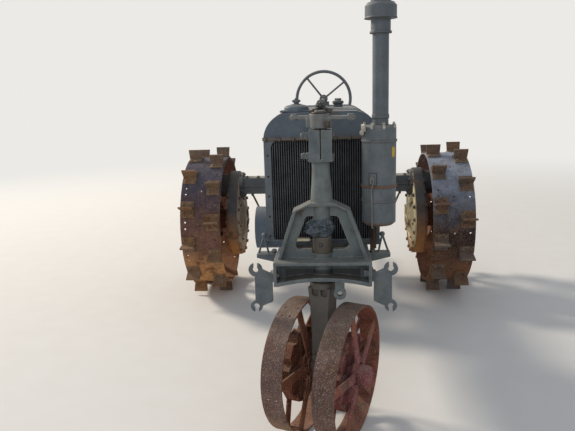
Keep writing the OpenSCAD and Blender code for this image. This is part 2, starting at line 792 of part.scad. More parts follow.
// Bevel teeth: wedges that narrow to the point where both axes meet, on pitch cones of 24 and 8 teeth
sector_pitch = 15;
pinion_teeth = 8;
tooth_top = 2.8;
tooth_root = 4.2;
tooth_share = 0.38;
tooth_lean = 20;
tooth_half = tooth_share * PI * pinion_r / pinion_teeth;
cone_angle = atan2(pinion_r, sector_r);
module bevel_tooth() {
    low = tooth_half + (tooth_root + 1) * tan(tooth_lean);
    high = tooth_half - tooth_top * tan(tooth_lean);
    root = -tooth_root - 1;
    outer = [[apex_gap, -low, root], [apex_gap, low, root], [apex_gap, high, tooth_top],
        [apex_gap, -high, tooth_top]];
    polyhedron(concat(outer, inner_ratio * outer),
        [[3, 2, 1, 0], [4, 5, 6, 7], [0, 1, 5, 4], [1, 2, 6, 5], [2, 3, 7, 6], [3, 0, 4, 7]]);
}

module steering_post() color(grey) at_post() {
    translate([0, 0, post_low_z]) cylinder(r = post_r, h = shaft_z - pinion_r - 2 - post_low_z);
    // collar in the frame's opening
    translate([0, 0, foot_z + foot_h + 24]) cylinder(r = 43, h = 72);
    // cap over the clamp with the cross arm
    lobes = [-47, 45];
    arm_ends = [-124, 140];
    arm_z = cap_low_z + 38;
    translate([0, 0, cap_low_z]) cylinder(r = 46, h = cap_h);
    for (x = lobes) translate([x, -12, cap_low_z + 4]) cylinder(r = 15, h = 40);
    translate([arm_ends[0] - 16, -20, arm_z]) cube([arm_ends[1] - arm_ends[0] + 32, 40, 14]);
    for (x = arm_ends) translate([x, 0, arm_z - 6]) cylinder(r = 14, h = 28);
}

// Bevel sector, seated on the cap round the post's end
sector_low_z = cap_low_z + cap_h + seat_gap;
module bevel_sector() color(dark) at_post() {
    face = [pinion_r, sector_r] / apex_gap;
    root = [sector_r, -pinion_r] - tooth_root * face;
    difference() {
        union() {
            translate([0, 0, shaft_z]) rotate([0, 0, 5]) rotate_extrude(angle = 170)
                polygon([[post_r + 8, sector_low_z - shaft_z], [root[0] + 2, sector_low_z - shaft_z],
                    root, inner_ratio * root, inner_ratio * root - [3, 1],
                    [inner_ratio * root[0] - 3, root[1] - 3], [post_r + 8, root[1] - 3]]);
            translate([0, 0, sector_low_z])
                cylinder(r = post_r + 12, h = shaft_z - pinion_r - 8 - sector_low_z);
        }
        translate([0, 0, sector_low_z - eps]) cylinder(r = post_r + seat_gap, h = 40);
    }
    for (i = [-7:3]) translate([0, 0, shaft_z])
        rotate([0, 0, 90 + parked_steer + (i + 0.5) * sector_pitch]) rotate([0, cone_angle, 0]) bevel_tooth();
}

spindle_low_z = front_axle_z + 40;
pocket_low_z = foot_z - 66;
pocket_high_z = foot_z - 32;
module spindle() color(grey) difference() {
    union() {
        at_post(foot_z - 30 - seat_gap) cylinder(r = 60, h = 30);
        at_post() rotate([90, 0, 0]) translate([0, 0, -50]) linear_extrude(100)
            polygon([[-54, foot_z - 25], [54, foot_z - 25], [45, 640], [40, 500], [42, spindle_low_z],
                [-42, spindle_low_z], [-40, 500], [-45, 640]]);
    }
    at_post(post_low_z) cylinder(r = post_r + seat_gap, h = 400);
    // round-bottomed pockets beside a rib, in front and behind
    for (turn = [0, 180], x = [-20, 24]) at_post() rotate([0, 0, turn]) plate_xz(-51, 15) {
        translate([x - 16, pocket_low_z + 16]) square([32, pocket_high_z - pocket_low_z - 16]);
        translate([x, pocket_low_z + 16]) circle(16);
    }
}

module front_axle() color(grey) {
    at_post(front_axle_z - 40) translate([-42, -50, 0]) cube([84, 100, 80]);
    for (side = [-1, 1]) front_side(side) {
        cylinder(r = 34, h = front_gap - 16);
        cylinder(r = front_stub_r, h = front_gap + front_w + 20);
    }
}

module front_side(side) translate([0, -wheelbase, front_axle_z])
    rotate([0, 0, side > 0 ? -parked_steer : 180 - parked_steer]) rotate([0, 90 + camber, 0]) children();

// Outline of a front wheel's cast centre, from a table over one spoke's share of the turn
spider_rows = [
    // [share of the arms' radius, angle from the spoke]
    [1, -8], [1, 8], [0.87, 17], [1.02, 26], [1.02, 46], [0.87, 55],
];
module spider_outline() polygon([for (i = [0:front_spokes - 1], r = spider_rows)
    spider_r * r[0] * [cos(i * 360 / front_spokes + r[1]), sin(i * 360 / front_spokes + r[1])]]);

module front_wheel(side, phase) color(side > 0 ? red : orange) front_side(side) {
    inner_r = front_r - front_t;
    mid = front_gap + front_w / 2;
    near_w = front_gap + 12;
    far_w = front_gap + front_w - 12;
    hub_low = front_gap - 6;
    hub_high = front_gap + front_w + 10;
    cap_r = 46;
    cap_l = 56;
    cap_round = 28;
    difference() {
        union() {
            translate([0, 0, front_gap]) difference() {
                cylinder(r = front_r, h = front_w, $fn = 96);
                translate([0, 0, -eps]) cylinder(r = inner_r, h = front_w + 2 * eps, $fn = 96);
            }
            translate([0, 0, hub_low]) cylinder(r = front_hub_r, h = hub_high - hub_low);
            for (w = [near_w - 6, far_w - 2]) translate([0, 0, w]) cylinder(r = hub_flange_r, h = 8);
            rotate([0, 0, phase]) {
                // cast centre: a dished rim round a web, with ribs to the hub
                translate([0, 0, mid - spider_w / 2]) linear_extrude(spider_w) difference() {
                    spider_outline();
                    scale(1 - spider_wall / spider_r) spider_outline();
                }
                translate([0, 0, mid - spider_wall / 2]) linear_extrude(spider_wall) difference() {
                    spider_outline();
                    circle(front_hub_r - 4);
                }
                for (i = [0:front_spokes - 1]) rotate([0, 0, i * 360 / front_spokes]) {
                    translate([front_hub_r - 4, -6, mid - spider_w / 2 + 4])
                        cube([spider_r - front_hub_r, 12, spider_w - 8]);
                    // each spoke is one flat bar, bent over the tread and bolted to both hub flanges
                    rotate([90, 0, 0]) translate([0, 0, -front_spoke_w / 2]) linear_extrude(front_spoke_w) {
                        polygon([[hub_flange_r - 26, near_w - 14], [inner_r + 1, near_w],
                            [inner_r + 1, near_w + front_spoke_t], [hub_flange_r - 26, near_w - 6]]);
                        polygon([[hub_flange_r - 26, far_w + 14], [inner_r + 1, far_w],
                            [inner_r + 1, far_w - front_spoke_t], [hub_flange_r - 26, far_w + 6]]);
                        translate([inner_r - front_spoke_t + 1, near_w])
                            square([front_spoke_t, far_w - near_w]);
                    }
                }
            }
            // hub cap with a round end
            translate([0, 0, hub_high - 4]) rotate_extrude() intersection() {
                union() {
                    square([cap_r, cap_l - cap_round]);
                    square([cap_r - cap_round, cap_l]);
                    translate([cap_r - cap_round, cap_l - cap_round]) circle(cap_round);
                }
                square([cap_r, cap_l]);
            }
        }
        translate([0, 0, front_gap - 20]) cylinder(r = front_stub_r + run_fit, h = front_w + 45);
        // free bolt holes in the tread, two beside each spoke
        for (i = [0:front_spokes - 1], w = [-20, 20])
            rotate([0, 0, phase + side * tread_hole_turn + i * 360 / front_spokes])
                bar_x([inner_r - 4, 0, mid + w], tread_hole_r, front_t + 8);
    }
}

module lug() {
    foot_r = rear_r - 5;
    // foot plate
    translate([foot_r, -lug_foot / 2, 0]) cube([5 + lug_foot_t, lug_foot, lug_w]);
    // upright blade, a little wider at its tip
    rotate([90, 0, 0]) translate([0, 0, -lug_t / 2]) linear_extrude(lug_t)
        polygon([[foot_r, 0], [tip_r, -5], [tip_r, lug_w + 5], [foot_r, lug_w]]);
}

// Free bolt holes of the rear rims, repeated from lug to lug; the rims are one part, fitted either way round
rim_holes_left = [
    // [distance from the inner edge, angle from the middle between the two rows' lugs]
    [40, -4.1], [40, 1.1], [150, 2.1], [262, 2.1],
];
rim_holes_right = [
    [40, 24.4], [150, 6.9], [262, 4.1], [262, 9.7],
];
module rear_wheel(side) color(rust) translate([0, 0, rear_axle_z])
    rotate([0, 0, side > 0 ? 0 : 180]) rotate([0, 90, 0]) {
    in_w = rear_gap + 92;
    out_w = rear_gap + rear_w - 60;
    translate([0, 0, rear_gap]) difference() {
        cylinder(r = rear_r, h = rear_w, $fn = 120);
        translate([0, 0, -eps]) cylinder(r = rear_r - rear_t, h = rear_w + 2 * eps, $fn = 120);
        // free bolt holes between the lugs
        for (i = [0:lugs_per_row - 1], h = side > 0 ? rim_holes_left : rim_holes_right)
            rotate([0, 0, i * lug_pitch + h[1]])
                bar_x([rear_r - rear_t - 4, 0, h[0]], rim_hole_r, rear_t + 8);
    }
    for (i = [0:lugs_per_row - 1]) {
        rotate([0, 0, i * lug_pitch + stand_angle]) translate([0, 0, rear_gap + 8]) lug();
        rotate([0, 0, i * lug_pitch - stand_angle]) translate([0, 0, rear_gap + rear_w - 8 - lug_w]) lug();
    }
    // hub with its two flanges, and flat spokes in two rows
    translate([0, 0, rear_gap + 30]) cylinder(r = 78, h = rear_w - 40);
    for (w = [in_w, out_w - 12]) translate([0, 0, w]) cylinder(r = rear_flange_r, h = 12);
    for (i = [0:rear_spokes - 1]) {
        rotate([0, 0, i * 360 / rear_spokes]) translate([rear_flange_r - 50, -35, in_w + 12])
            cube([rear_r - rear_flange_r + 42, 70, 10]);
        rotate([0, 0, (i + 0.5) * 360 / rear_spokes]) translate([rear_flange_r - 50, -35, out_w - 22])
            cube([rear_r - rear_flange_r + 42, 70, 10]);
    }
    // axle shaft into the drop case, and the hub's end nut
    translate([0, 0, case_in + 22]) cylinder(r = rear_axle_r, h = rear_gap + rear_w - 8 - case_in - 22);
}

module steering_shaft() color(dark) translate([0, -wheelbase, shaft_z]) rotate([-90, 0, 0]) {
    translate([0, 0, sector_r]) cylinder(r = shaft_r, h = wheelbase - wheel_ahead - sector_r + 10);
    // bevel pinion with its hub behind and its nut in front
    root = [pinion_r, sector_r] - tooth_root * [sector_r, -pinion_r] / apex_gap;
    translate([0, 0, inner_ratio * root[1]])
        cylinder(r1 = inner_ratio * root[0], r2 = root[0], h = (1 - inner_ratio) * root[1]);
    for (i = [0:pinion_teeth - 1]) rotate([0, 0, i * 360 / pinion_teeth])
        rotate([0, cone_angle - 90, 0]) rotate([180, 0, 0]) bevel_tooth();
    translate([0, 0, sector_r + 4]) cylinder(r = pinion_r - 2, h = 8);
    translate([0, 0, inner_ratio * root[1] - 16]) cylinder(r = 8, h = 18, $fn = 6);
}

module steering_wheel() color(dark) translate([0, -wheel_ahead, shaft_z]) rotate([-90, 0, 0]) difference() {
    union() {
        rotate_extrude($fn = 96) translate([steer_wheel_r - steer_rim_r, 0]) circle(steer_rim_r, $fn = 24);
        translate([0, 0, -6]) cylinder(r = 30, h = 44);
        for (i = [0:3]) rotate([0, 0, 52 + i * 90])
            rod([20, 0, 20], [steer_wheel_r - steer_rim_r, 0, 0], 7);
    }
    translate([0, 0, -10]) cylinder(r = shaft_r + seat_gap, h = 21);
}

module belt_pulley() color("#4f6173") translate([pulley_inner_x - pulley_w, -pulley_ahead, belt_z])
    rotate([0, 90, 0]) difference() {
        cylinder(r = pulley_r, h = pulley_w);
        translate([0, 0, -eps]) cylinder(r = pulley_r - 9, h = pulley_w - 20);
        translate([0, 0, pulley_w - 21]) cylinder(r = pulley_shaft_r + run_fit, h = 30);
    }

module fan() color(dark) translate([0, fan_y, fan_z]) rotate([-90, 0, 0]) {
    cylinder(r = 40, h = 20);
    cylinder(r = fan_shaft_r, h = 88);
    for (i = [0:3]) rotate([0, 0, i * 90]) translate([30, -38, 7]) rotate([18, 0, 0]) cube([135, 76, 3]);
}

tractor_frame() bolster();
tractor_frame() column_clamp();
tractor_frame() frame_rails();
tractor_frame() side_brackets();
tractor_frame() side_arms();
tractor_frame() radiator_core();
tractor_frame() radiator_sides();
tractor_frame() radiator_base();
tractor_frame() radiator_top();
tractor_frame() radiator_cap();
tractor_frame() shaft_stands();
tractor_frame() fuel_tank();
tractor_frame() fuel_cap();
tractor_frame() engine_block();
tractor_frame() cylinder_head();
tractor_frame() oil_pan();
tractor_frame() manifold();
tractor_frame() magneto();
tractor_frame() air_cleaner();
tractor_frame() air_stack();
tractor_frame() air_pipe();
tractor_frame() clutch_housing();
tractor_frame() rear_housing();
tractor_frame() axle_tubes();
tractor_frame() drop_cases();
tractor_frame() drop_covers();
tractor_frame() platform();
tractor_frame() seat_spring();
tractor_frame() seat();
tractor_frame() levers();
tractor_frame() drawbar();
tractor_frame() stays();
tractor_frame() pto_shaft();
tractor_frame() steering_post();
tractor_frame() bevel_sector();
tractor_frame() spindle();
tractor_frame() front_axle();
tractor_frame() steering_shaft();
tractor_frame() steering_wheel();
tractor_frame() front_wheel(1, 48);  // front_wheel_left
tractor_frame() front_wheel(-1, 22);  // front_wheel_right
tractor_frame() rear_wheel(1);  // rear_wheel_left
tractor_frame() rear_wheel(-1);  // rear_wheel_right
tractor_frame() belt_pulley();
tractor_frame() fan();
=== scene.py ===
import json
import math
import bpy
from mathutils import Matrix, Vector, noise


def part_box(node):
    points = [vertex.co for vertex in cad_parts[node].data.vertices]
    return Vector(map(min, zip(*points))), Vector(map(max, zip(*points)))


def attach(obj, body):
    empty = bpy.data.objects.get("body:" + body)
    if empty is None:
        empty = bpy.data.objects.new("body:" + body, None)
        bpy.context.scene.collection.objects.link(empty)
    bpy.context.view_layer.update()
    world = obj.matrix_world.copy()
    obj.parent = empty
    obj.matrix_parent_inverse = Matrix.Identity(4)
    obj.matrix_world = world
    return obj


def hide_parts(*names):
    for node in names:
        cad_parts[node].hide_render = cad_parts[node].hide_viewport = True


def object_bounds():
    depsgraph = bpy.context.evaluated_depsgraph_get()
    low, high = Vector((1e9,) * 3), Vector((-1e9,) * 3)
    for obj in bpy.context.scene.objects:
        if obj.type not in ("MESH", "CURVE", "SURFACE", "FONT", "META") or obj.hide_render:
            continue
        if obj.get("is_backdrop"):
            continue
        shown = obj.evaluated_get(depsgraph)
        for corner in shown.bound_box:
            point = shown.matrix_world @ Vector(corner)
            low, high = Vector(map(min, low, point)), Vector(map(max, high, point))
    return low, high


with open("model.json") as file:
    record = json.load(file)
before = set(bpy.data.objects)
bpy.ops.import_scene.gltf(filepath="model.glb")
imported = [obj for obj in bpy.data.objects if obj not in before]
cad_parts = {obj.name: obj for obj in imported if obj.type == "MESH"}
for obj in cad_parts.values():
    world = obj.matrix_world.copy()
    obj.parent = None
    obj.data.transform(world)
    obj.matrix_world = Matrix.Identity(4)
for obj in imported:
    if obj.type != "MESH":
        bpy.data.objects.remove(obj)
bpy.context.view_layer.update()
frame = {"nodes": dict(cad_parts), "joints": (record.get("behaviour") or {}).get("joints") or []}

nodes = frame["nodes"]
joints = {joint["name"]: joint for joint in frame["joints"]}


# The view: a camera held at eye height in front of the tractor, looking down by twelve degrees.
# Its place was solved from the wheels, so the lens and the turn are those of the picture.
def aim_camera():
    focal_px, width_px = 584.2866, 575
    down, roll, turn = math.radians(12.0944), math.radians(-1.7374), math.radians(4.3343)
    camera = bpy.data.objects.new("camera", bpy.data.cameras.new("camera"))
    bpy.context.scene.collection.objects.link(camera)
    camera.data.sensor_width = 36
    camera.data.lens = 36 * focal_px / width_px
    camera.data.clip_end = 200
    ahead = Vector((-math.sin(turn) * math.cos(down), math.cos(turn) * math.cos(down), -math.sin(down)))
    right = Vector((math.cos(turn), math.sin(turn), 0))
    up = right.cross(ahead)
    right_rolled = math.cos(roll) * right + math.sin(roll) * up
    up_rolled = math.cos(roll) * up - math.sin(roll) * right
    turned_view = Matrix((right_rolled, up_rolled, -ahead)).transposed().to_4x4()
    camera.matrix_world = Matrix.Translation((0.04, -3.958, 1.6062)) @ turned_view
    bpy.context.scene.camera = camera


aim_camera()


# The floor: a pale, plain studio floor that fades into the same pale backdrop far away, so that no
# horizon line shows. It keeps the tractor's soft shadow. The sky round it is even and a little cold.


# Colours are written as sRGB hex, the way a paint chart gives them.
def paint(code):
    channels = [int(code[i:i + 2], 16) / 255 for i in (1, 3, 5)]
    linear = [c / 12.92 if c <= 0.04045 else ((c + 0.055) / 1.055) ** 2.4 for c in channels]
    return (*linear, 1.0)


# Adds one shader node; inputs are plain values or the sockets that they are linked to.
def add(tree, kind, inputs=None, **settings):
    node = tree.nodes.new(kind)
    for name, value in settings.items():
        setattr(node, name, value)
    for name, value in (inputs or {}).items():
        if isinstance(value, bpy.types.NodeSocket):
            tree.links.new(value, node.inputs[name])
        else:
            node.inputs[name].default_value = value
    return node


def lay_floor():
    backdrop = paint("#eceae6")
    bpy.ops.object.select_all(action="DESELECT")
    bpy.ops.mesh.primitive_plane_add(size=160, location=(0, 0, 0))
    floor = bpy.context.object
    floor.name = "studio_floor"
    material = bpy.data.materials.new("pale_studio_floor")
    material.use_nodes = True
    tree = material.node_tree
    tree.nodes.clear()
    place = add(tree, "ShaderNodeTexCoord").outputs["Object"]
    grit = add(tree, "ShaderNodeTexNoise", {"Vector": place, "Scale": 6.0, "Detail": 6.0}).outputs[0]
    tone = add(tree, "ShaderNodeMix", {0: grit, 6: paint("#d8d5d0"), 7: paint("#dedcd8")}, data_type="RGBA")
    matt = add(tree, "ShaderNodeBsdfDiffuse", {"Color": tone.outputs[2]})
    far = add(tree, "ShaderNodeVectorMath", {0: place}, operation="LENGTH")
    fade = add(tree, "ShaderNodeMapRange", {"Value": far.outputs["Value"], "From Min": 3.5, "From Max": 11.0},
               interpolation_type="SMOOTHSTEP")
    seen = add(tree, "ShaderNodeLightPath")
    share = add(tree, "ShaderNodeMath", {0: fade.outputs[0], 1: seen.outputs["Is Camera Ray"]},
                operation="MULTIPLY")
    glow = add(tree, "ShaderNodeEmission", {"Color": backdrop})
    both = add(tree, "ShaderNodeMixShader", {0: share.outputs[0], 1: matt.outputs[0], 2: glow.outputs[0]})
    add(tree, "ShaderNodeOutputMaterial", {"Surface": both.outputs[0]})
    floor.data.materials.append(material)
    floor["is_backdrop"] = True

    world = bpy.data.worlds.new("studio_light")
    bpy.context.scene.world = world
    world.use_nodes = True
    tree = world.node_tree
    tree.nodes.clear()
    seen = add(tree, "ShaderNodeLightPath")
    shown = add(tree, "ShaderNodeMath",
                {0: seen.outputs["Is Camera Ray"], 1: seen.outputs["Is Transmission Ray"]},
                operation="MAXIMUM")
    shown = add(tree, "ShaderNodeMath", {0: shown.outputs[0], 1: seen.outputs["Is Glossy Ray"]},
                operation="MAXIMUM")
    soft = add(tree, "ShaderNodeBackground", {"Color": paint("#d9dfe8"), "Strength": 0.62})
    plain = add(tree, "ShaderNodeBackground", {"Color": backdrop, "Strength": 1.0})
    both = add(tree, "ShaderNodeMixShader", {0: shown.outputs[0], 1: soft.outputs[0], 2: plain.outputs[0]})
    add(tree, "ShaderNodeOutputWorld", {"Surface": both.outputs[0]})


lay_floor()


# The lamps: one large soft key lamp far behind the tractor on the left of the picture, and a weak
# wide one in front that keeps the shaded side readable. Far off, they light the floor evenly.
def hang_lamp(name, place, target, size, watts, colour):
    lamp = bpy.data.objects.new(name, bpy.data.lights.new(name, "AREA"))
    bpy.context.scene.collection.objects.link(lamp)
    lamp.data.size = size
    lamp.data.energy = watts
    lamp.data.color = paint(colour)[:3]
    direction = Vector(target) - Vector(place)
    lamp.matrix_world = Matrix.Translation(place) @ direction.to_track_quat("-Z", "Y").to_matrix().to_4x4()


hang_lamp("key_lamp", (-17.4, 9.8, 13.7), (0, -0.4, 0.8), 4.3, 5700, "#fff4e4")
hang_lamp("front_lamp", (-3.6, -14.8, 8.8), (0, -0.6, 0.9), 10.0, 540, "#eef3ff")


# Front bolster: one heavy grey iron casting, sand cast and painted with a brush, whose legs carry
# the column. Its paint has faded, and its edges are pale, partly where they were rubbed and partly as
# a painted highlight.


# Weathered paint or rust on iron: it fades in large clouds from one colour to another, rusts in
# patches and along rubbed edges, has a cast or rolled grain, and holds dust on what faces up. Each
# zone is a mask and the two colours that hold there instead. Shares run from 0 to 1, and sizes are
# real millimetres, so many to the metre in each Scale.
def weathered(name, base, faded, rust, rust_deep, zones=(), patch=0.5, patch_mm=140.0, bare=None, edge=0.8,
              edge_mm=7.0, edge_wear_and_highlight_colour=None, grain_mm=2.5, mottle=0.12, mottle_mm=60.0, dust=0.35,
              dust_colour="#a79d8c", specks=0.0, speck_colour="#b9ab98", rough=0.62, shine=0.5, bump=0.35):
    fading_mm, blot_mm, sand_mm = 420, 26, 4
    material = bpy.data.materials.new(name)
    material.use_nodes = True
    tree = material.node_tree
    tree.nodes.clear()
    place = add(tree, "ShaderNodeTexCoord").outputs["Object"]
    face = add(tree, "ShaderNodeNewGeometry")
    broad = add(tree, "ShaderNodeTexNoise", {"Vector": place, "Scale": 1000 / fading_mm, "Detail": 5.0,
                                             "Roughness": 0.6})
    patches = add(tree, "ShaderNodeTexNoise", {"Vector": place, "Scale": 1000 / patch_mm, "Detail": 9.0,
                                               "Roughness": 0.66, "Distortion": 0.3})
    blots = add(tree, "ShaderNodeTexNoise", {"Vector": place, "Scale": 1000 / blot_mm, "Detail": 6.0,
                                             "Roughness": 0.6})
    grain = add(tree, "ShaderNodeTexNoise", {"Vector": place, "Scale": 1000 / grain_mm, "Detail": 3.0})

    # rubbed edges: where a rounded edge's normal leaves the face's own, broken up by the blots. Without an
    # edge colour they rust; with one they turn pale, partly as wear and partly as a painted highlight
    rounded = add(tree, "ShaderNodeBevel", {"Radius": edge_mm / 1000}, samples=6)
    along = add(tree, "ShaderNodeVectorMath", {0: rounded.outputs[0], 1: face.outputs["True Normal"]},
                operation="DOT_PRODUCT")
    rim = add(tree, "ShaderNodeMapRange",
              {"Value": along.outputs["Value"], "From Min": 0.985, "From Max": 0.86,
               "To Min": 0.0, "To Max": edge})
    rubbed = add(tree, "ShaderNodeMapRange", {"Value": blots.outputs[0], "From Min": 0.36, "From Max": 0.62})
    worn_and_highlit_rim = add(tree, "ShaderNodeMath", {0: rim.outputs[0], 1: rubbed.outputs[0]}, operation="MULTIPLY")

    # rust patches: about this share of the surface, with a border that is soft over 0.11 of the noise
    level = 0.5 + (0.5 - patch) * 0.36
    rusty = add(tree, "ShaderNodeMapRange", {"Value": patches.outputs[0], "From Min": level,
                                             "From Max": level + 0.11})
    if bare:
        # scoured metal under this mask holds only a fifth of the rust
        kept = add(tree, "ShaderNodeMath", {0: bare(tree, place, patches.outputs[0]), 1: -0.8, 2: 1.0},
                   operation="MULTIPLY_ADD")
        rusty = add(tree, "ShaderNodeMath", {0: rusty.outputs[0], 1: kept.outputs[0]}, operation="MULTIPLY")
    if not edge_wear_and_highlight_colour:
        # edges without a colour of their own rust with the patches
        rusty = add(tree, "ShaderNodeMath", {0: rusty.outputs[0], 1: worn_and_highlit_rim.outputs[0]},
                    operation="MAXIMUM")

    # the coat, the colours of the zones, the rust and the rubbed edges over each other
    fading = add(tree, "ShaderNodeMapRange", {"Value": broad.outputs[0], "From Min": 0.36, "From Max": 0.64})
    coat = add(tree, "ShaderNodeMix", {0: fading.outputs[0], 6: paint(base), 7: paint(faded)},
               data_type="RGBA")
    for mask, zone_base, zone_faded in zones:
        other = add(tree, "ShaderNodeMix", {0: blots.outputs[0], 6: paint(zone_base), 7: paint(zone_faded)},
                    data_type="RGBA")
        coat = add(tree, "ShaderNodeMix", {0: mask(tree, place, patches.outputs[0]), 6: coat.outputs[2],
                                           7: other.outputs[2]}, data_type="RGBA")
    oxide = add(tree, "ShaderNodeMix", {0: blots.outputs[0], 6: paint(rust_deep), 7: paint(rust)},
                data_type="RGBA")
    mixed = add(tree, "ShaderNodeMix", {0: rusty.outputs[0], 6: coat.outputs[2], 7: oxide.outputs[2]},
                data_type="RGBA")
    # edges with a colour of their own turn pale: rubbed wear, and a painted highlight where light catches
    # them
    if edge_wear_and_highlight_colour:
        mixed = add(tree, "ShaderNodeMix",
                    {0: worn_and_highlit_rim.outputs[0], 6: mixed.outputs[2], 7: paint(edge_wear_and_highlight_colour)}, data_type="RGBA")

    # dust that has settled on what faces up, uneven in the same clouds as the fading
    up = add(tree, "ShaderNodeSeparateXYZ", {0: face.outputs["Normal"]})
    settled = add(tree, "ShaderNodeMapRange", {"Value": up.outputs["Z"], "From Min": 0.35, "From Max": 1.0,
                                               "To Min": 0.04, "To Max": dust})
    uneven = add(tree, "ShaderNodeMath", {0: settled.outputs[0], 1: broad.outputs[0]}, operation="MULTIPLY")
    dusty = add(tree, "ShaderNodeMix", {0: uneven.outputs[0], 6: mixed.outputs[2], 7: paint(dust_colour)},
                data_type="RGBA")
    if specks:
        # sand that sticks to the surface, drawn coarser than it is so that its grains show
        sand = add(tree, "ShaderNodeTexNoise", {"Vector": place, "Scale": 1000 / sand_mm, "Detail": 2.0})
        grains = add(tree, "ShaderNodeMapRange", {"Value": sand.outputs[0], "From Min": 0.66 - specks * 0.16,
                                                  "From Max": 0.72 - specks * 0.16, "To Max": 0.55})
        dusty = add(tree, "ShaderNodeMix",
                    {0: grains.outputs[0], 6: dusty.outputs[2], 7: paint(speck_colour)}, data_type="RGBA")

    # lighter and darker clouds and grains over all of it
    clouds = add(tree, "ShaderNodeTexNoise", {"Vector": place, "Scale": 1000 / mottle_mm, "Detail": 4.0,
                                              "Roughness": 0.7})
    cloudy = add(tree, "ShaderNodeMapRange", {"Value": clouds.outputs[0], "From Min": 0.3, "From Max": 0.7,
                                              "To Min": 1.0 - mottle, "To Max": 1.0 + mottle})
    shade = add(tree, "ShaderNodeMapRange", {"Value": grain.outputs[0], "From Min": 0.3, "From Max": 0.7,
                                             "To Min": 0.82, "To Max": 1.14})
    depth = add(tree, "ShaderNodeMath", {0: cloudy.outputs[0], 1: shade.outputs[0]}, operation="MULTIPLY")
    speckled = add(tree, "ShaderNodeMix", {0: 1.0, 6: dusty.outputs[2], 7: depth.outputs[0]},
                   data_type="RGBA", blend_type="MULTIPLY")

    # rust is rougher than paint and lies a little lower; blots and grain make the skin uneven
    gloss = add(tree, "ShaderNodeMapRange", {"Value": rusty.outputs[0], "To Min": rough, "To Max": 0.88})
    height = add(tree, "ShaderNodeMath", {0: grain.outputs[0], 1: 0.5}, operation="MULTIPLY")
    height = add(tree, "ShaderNodeMath", {0: blots.outputs[0], 1: 0.9, 2: height.outputs[0]},
                 operation="MULTIPLY_ADD")
    height = add(tree, "ShaderNodeMath", {0: rusty.outputs[0], 1: -0.25, 2: height.outputs[0]},
                 operation="MULTIPLY_ADD")
    pitted = add(tree, "ShaderNodeBump", {"Strength": bump, "Distance": 0.0025, "Height": height.outputs[0],
                                          "Normal": rounded.outputs[0]})
    skin = add(tree, "ShaderNodeBsdfPrincipled",
               {"Base Color": speckled.outputs[2], "Roughness": gloss.outputs[0],
                "Normal": pitted.outputs[0], "Metallic": 0.0, "Specular IOR Level": shine})
    add(tree, "ShaderNodeOutputMaterial", {"Surface": skin.outputs[0]})
    return material


# Makes these pieces the selection; the first one is the active one.
def pick(*pieces):
    bpy.ops.object.select_all(action="DESELECT")
    for piece in pieces:
        piece.select_set(True)
    bpy.context.view_layer.objects.active = pieces[0]


# Makes one piece of several.
def join(name, pieces):
    pick(*pieces)
    if len(pieces) > 1:
        bpy.ops.object.join()
    pieces[0].name = name
    pieces[0].data.name = name
    return pieces[0]


# A plate or block between two corners, with its edges rounded as a casting or a worn bar has them.
def rounded_block(name, low, high, radius, steps=2):
    low, high = Vector(low), Vector(high)
    bpy.ops.object.select_all(action="DESELECT")
    bpy.ops.mesh.primitive_cube_add(size=1, location=(low + high) / 2)
    piece = bpy.context.object
    piece.name = name
    piece.scale = high - low
    bpy.ops.object.transform_apply(location=True, rotation=True, scale=True)
    bpy.ops.object.mode_set(mode="EDIT")
    bpy.ops.mesh.select_all(action="SELECT")
    bpy.ops.mesh.bevel(offset=radius, segments=steps, affect="EDGES")
    bpy.ops.object.mode_set(mode="OBJECT")
    bpy.ops.object.shade_smooth_by_angle(angle=math.radians(40))
    return piece


# Bolts, rivets and studs are made once and copied; the first ones are put away at the end.
patterns = []


# Hexagon-headed bolt on a round washer, standing on z = 0.
def make_bolt(across, head, washer=0.002):
    bpy.ops.object.select_all(action="DESELECT")
    bpy.ops.mesh.primitive_cylinder_add(vertices=6, radius=across / 1.732, depth=head,
                                        location=(0, 0, washer + head / 2))
    hexagon = bpy.context.object
    bpy.ops.object.transform_apply(location=True, rotation=True, scale=True)
    top = washer + head
    for edge in hexagon.data.edges:
        edge.select = all(abs(hexagon.data.vertices[v].co.z - top) < 1e-5 for v in edge.vertices)
    bpy.ops.object.mode_set(mode="EDIT")
    bpy.ops.mesh.select_mode(type="EDGE")
    bpy.ops.mesh.bevel(offset=across * 0.1, segments=1, affect="EDGES")
    bpy.ops.object.mode_set(mode="OBJECT")
    bpy.ops.mesh.primitive_cylinder_add(vertices=14, radius=across * 0.66, depth=washer + 0.001,
                                        location=(0, 0, (washer - 0.001) / 2))
    ring = bpy.context.object
    bpy.ops.object.transform_apply(location=True, rotation=True, scale=True)
    patterns.append(join("bolt", [hexagon, ring]))
    return patterns[-1]


# Copies a model to many places, each turned so that its top looks along the given way.
def spread(name, model, places):
    copies = []
    for number, (place, way) in enumerate(places):
        copy = model.copy()
        copy.data = model.data.copy()
        bpy.context.scene.collection.objects.link(copy)
        facing = Vector(way).to_track_quat("Z", "Y").to_matrix().to_4x4()
        copy.data.transform(Matrix.Translation(place) @ facing @ Matrix.Rotation(number * 0.7, 4, "Z"))
        copies.append(copy)
    return join(name, copies)


# Gives a piece its material and the body that it rides on.
def finish(piece, material, body):
    piece.data.materials.clear()
    piece.data.materials.append(material)
    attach(piece, body)
    return piece


# Makes one piece of the copies of a bolt, rivet or stud at these places.
def fasten(name, model, material, places, body="chassis"):
    return finish(spread(name, model, places), material, body)


# Gives these parts of the frame their material.
def finish_node(material, *names):
    for name in names:
        nodes[name].data.materials.clear()
        nodes[name].data.materials.append(material)


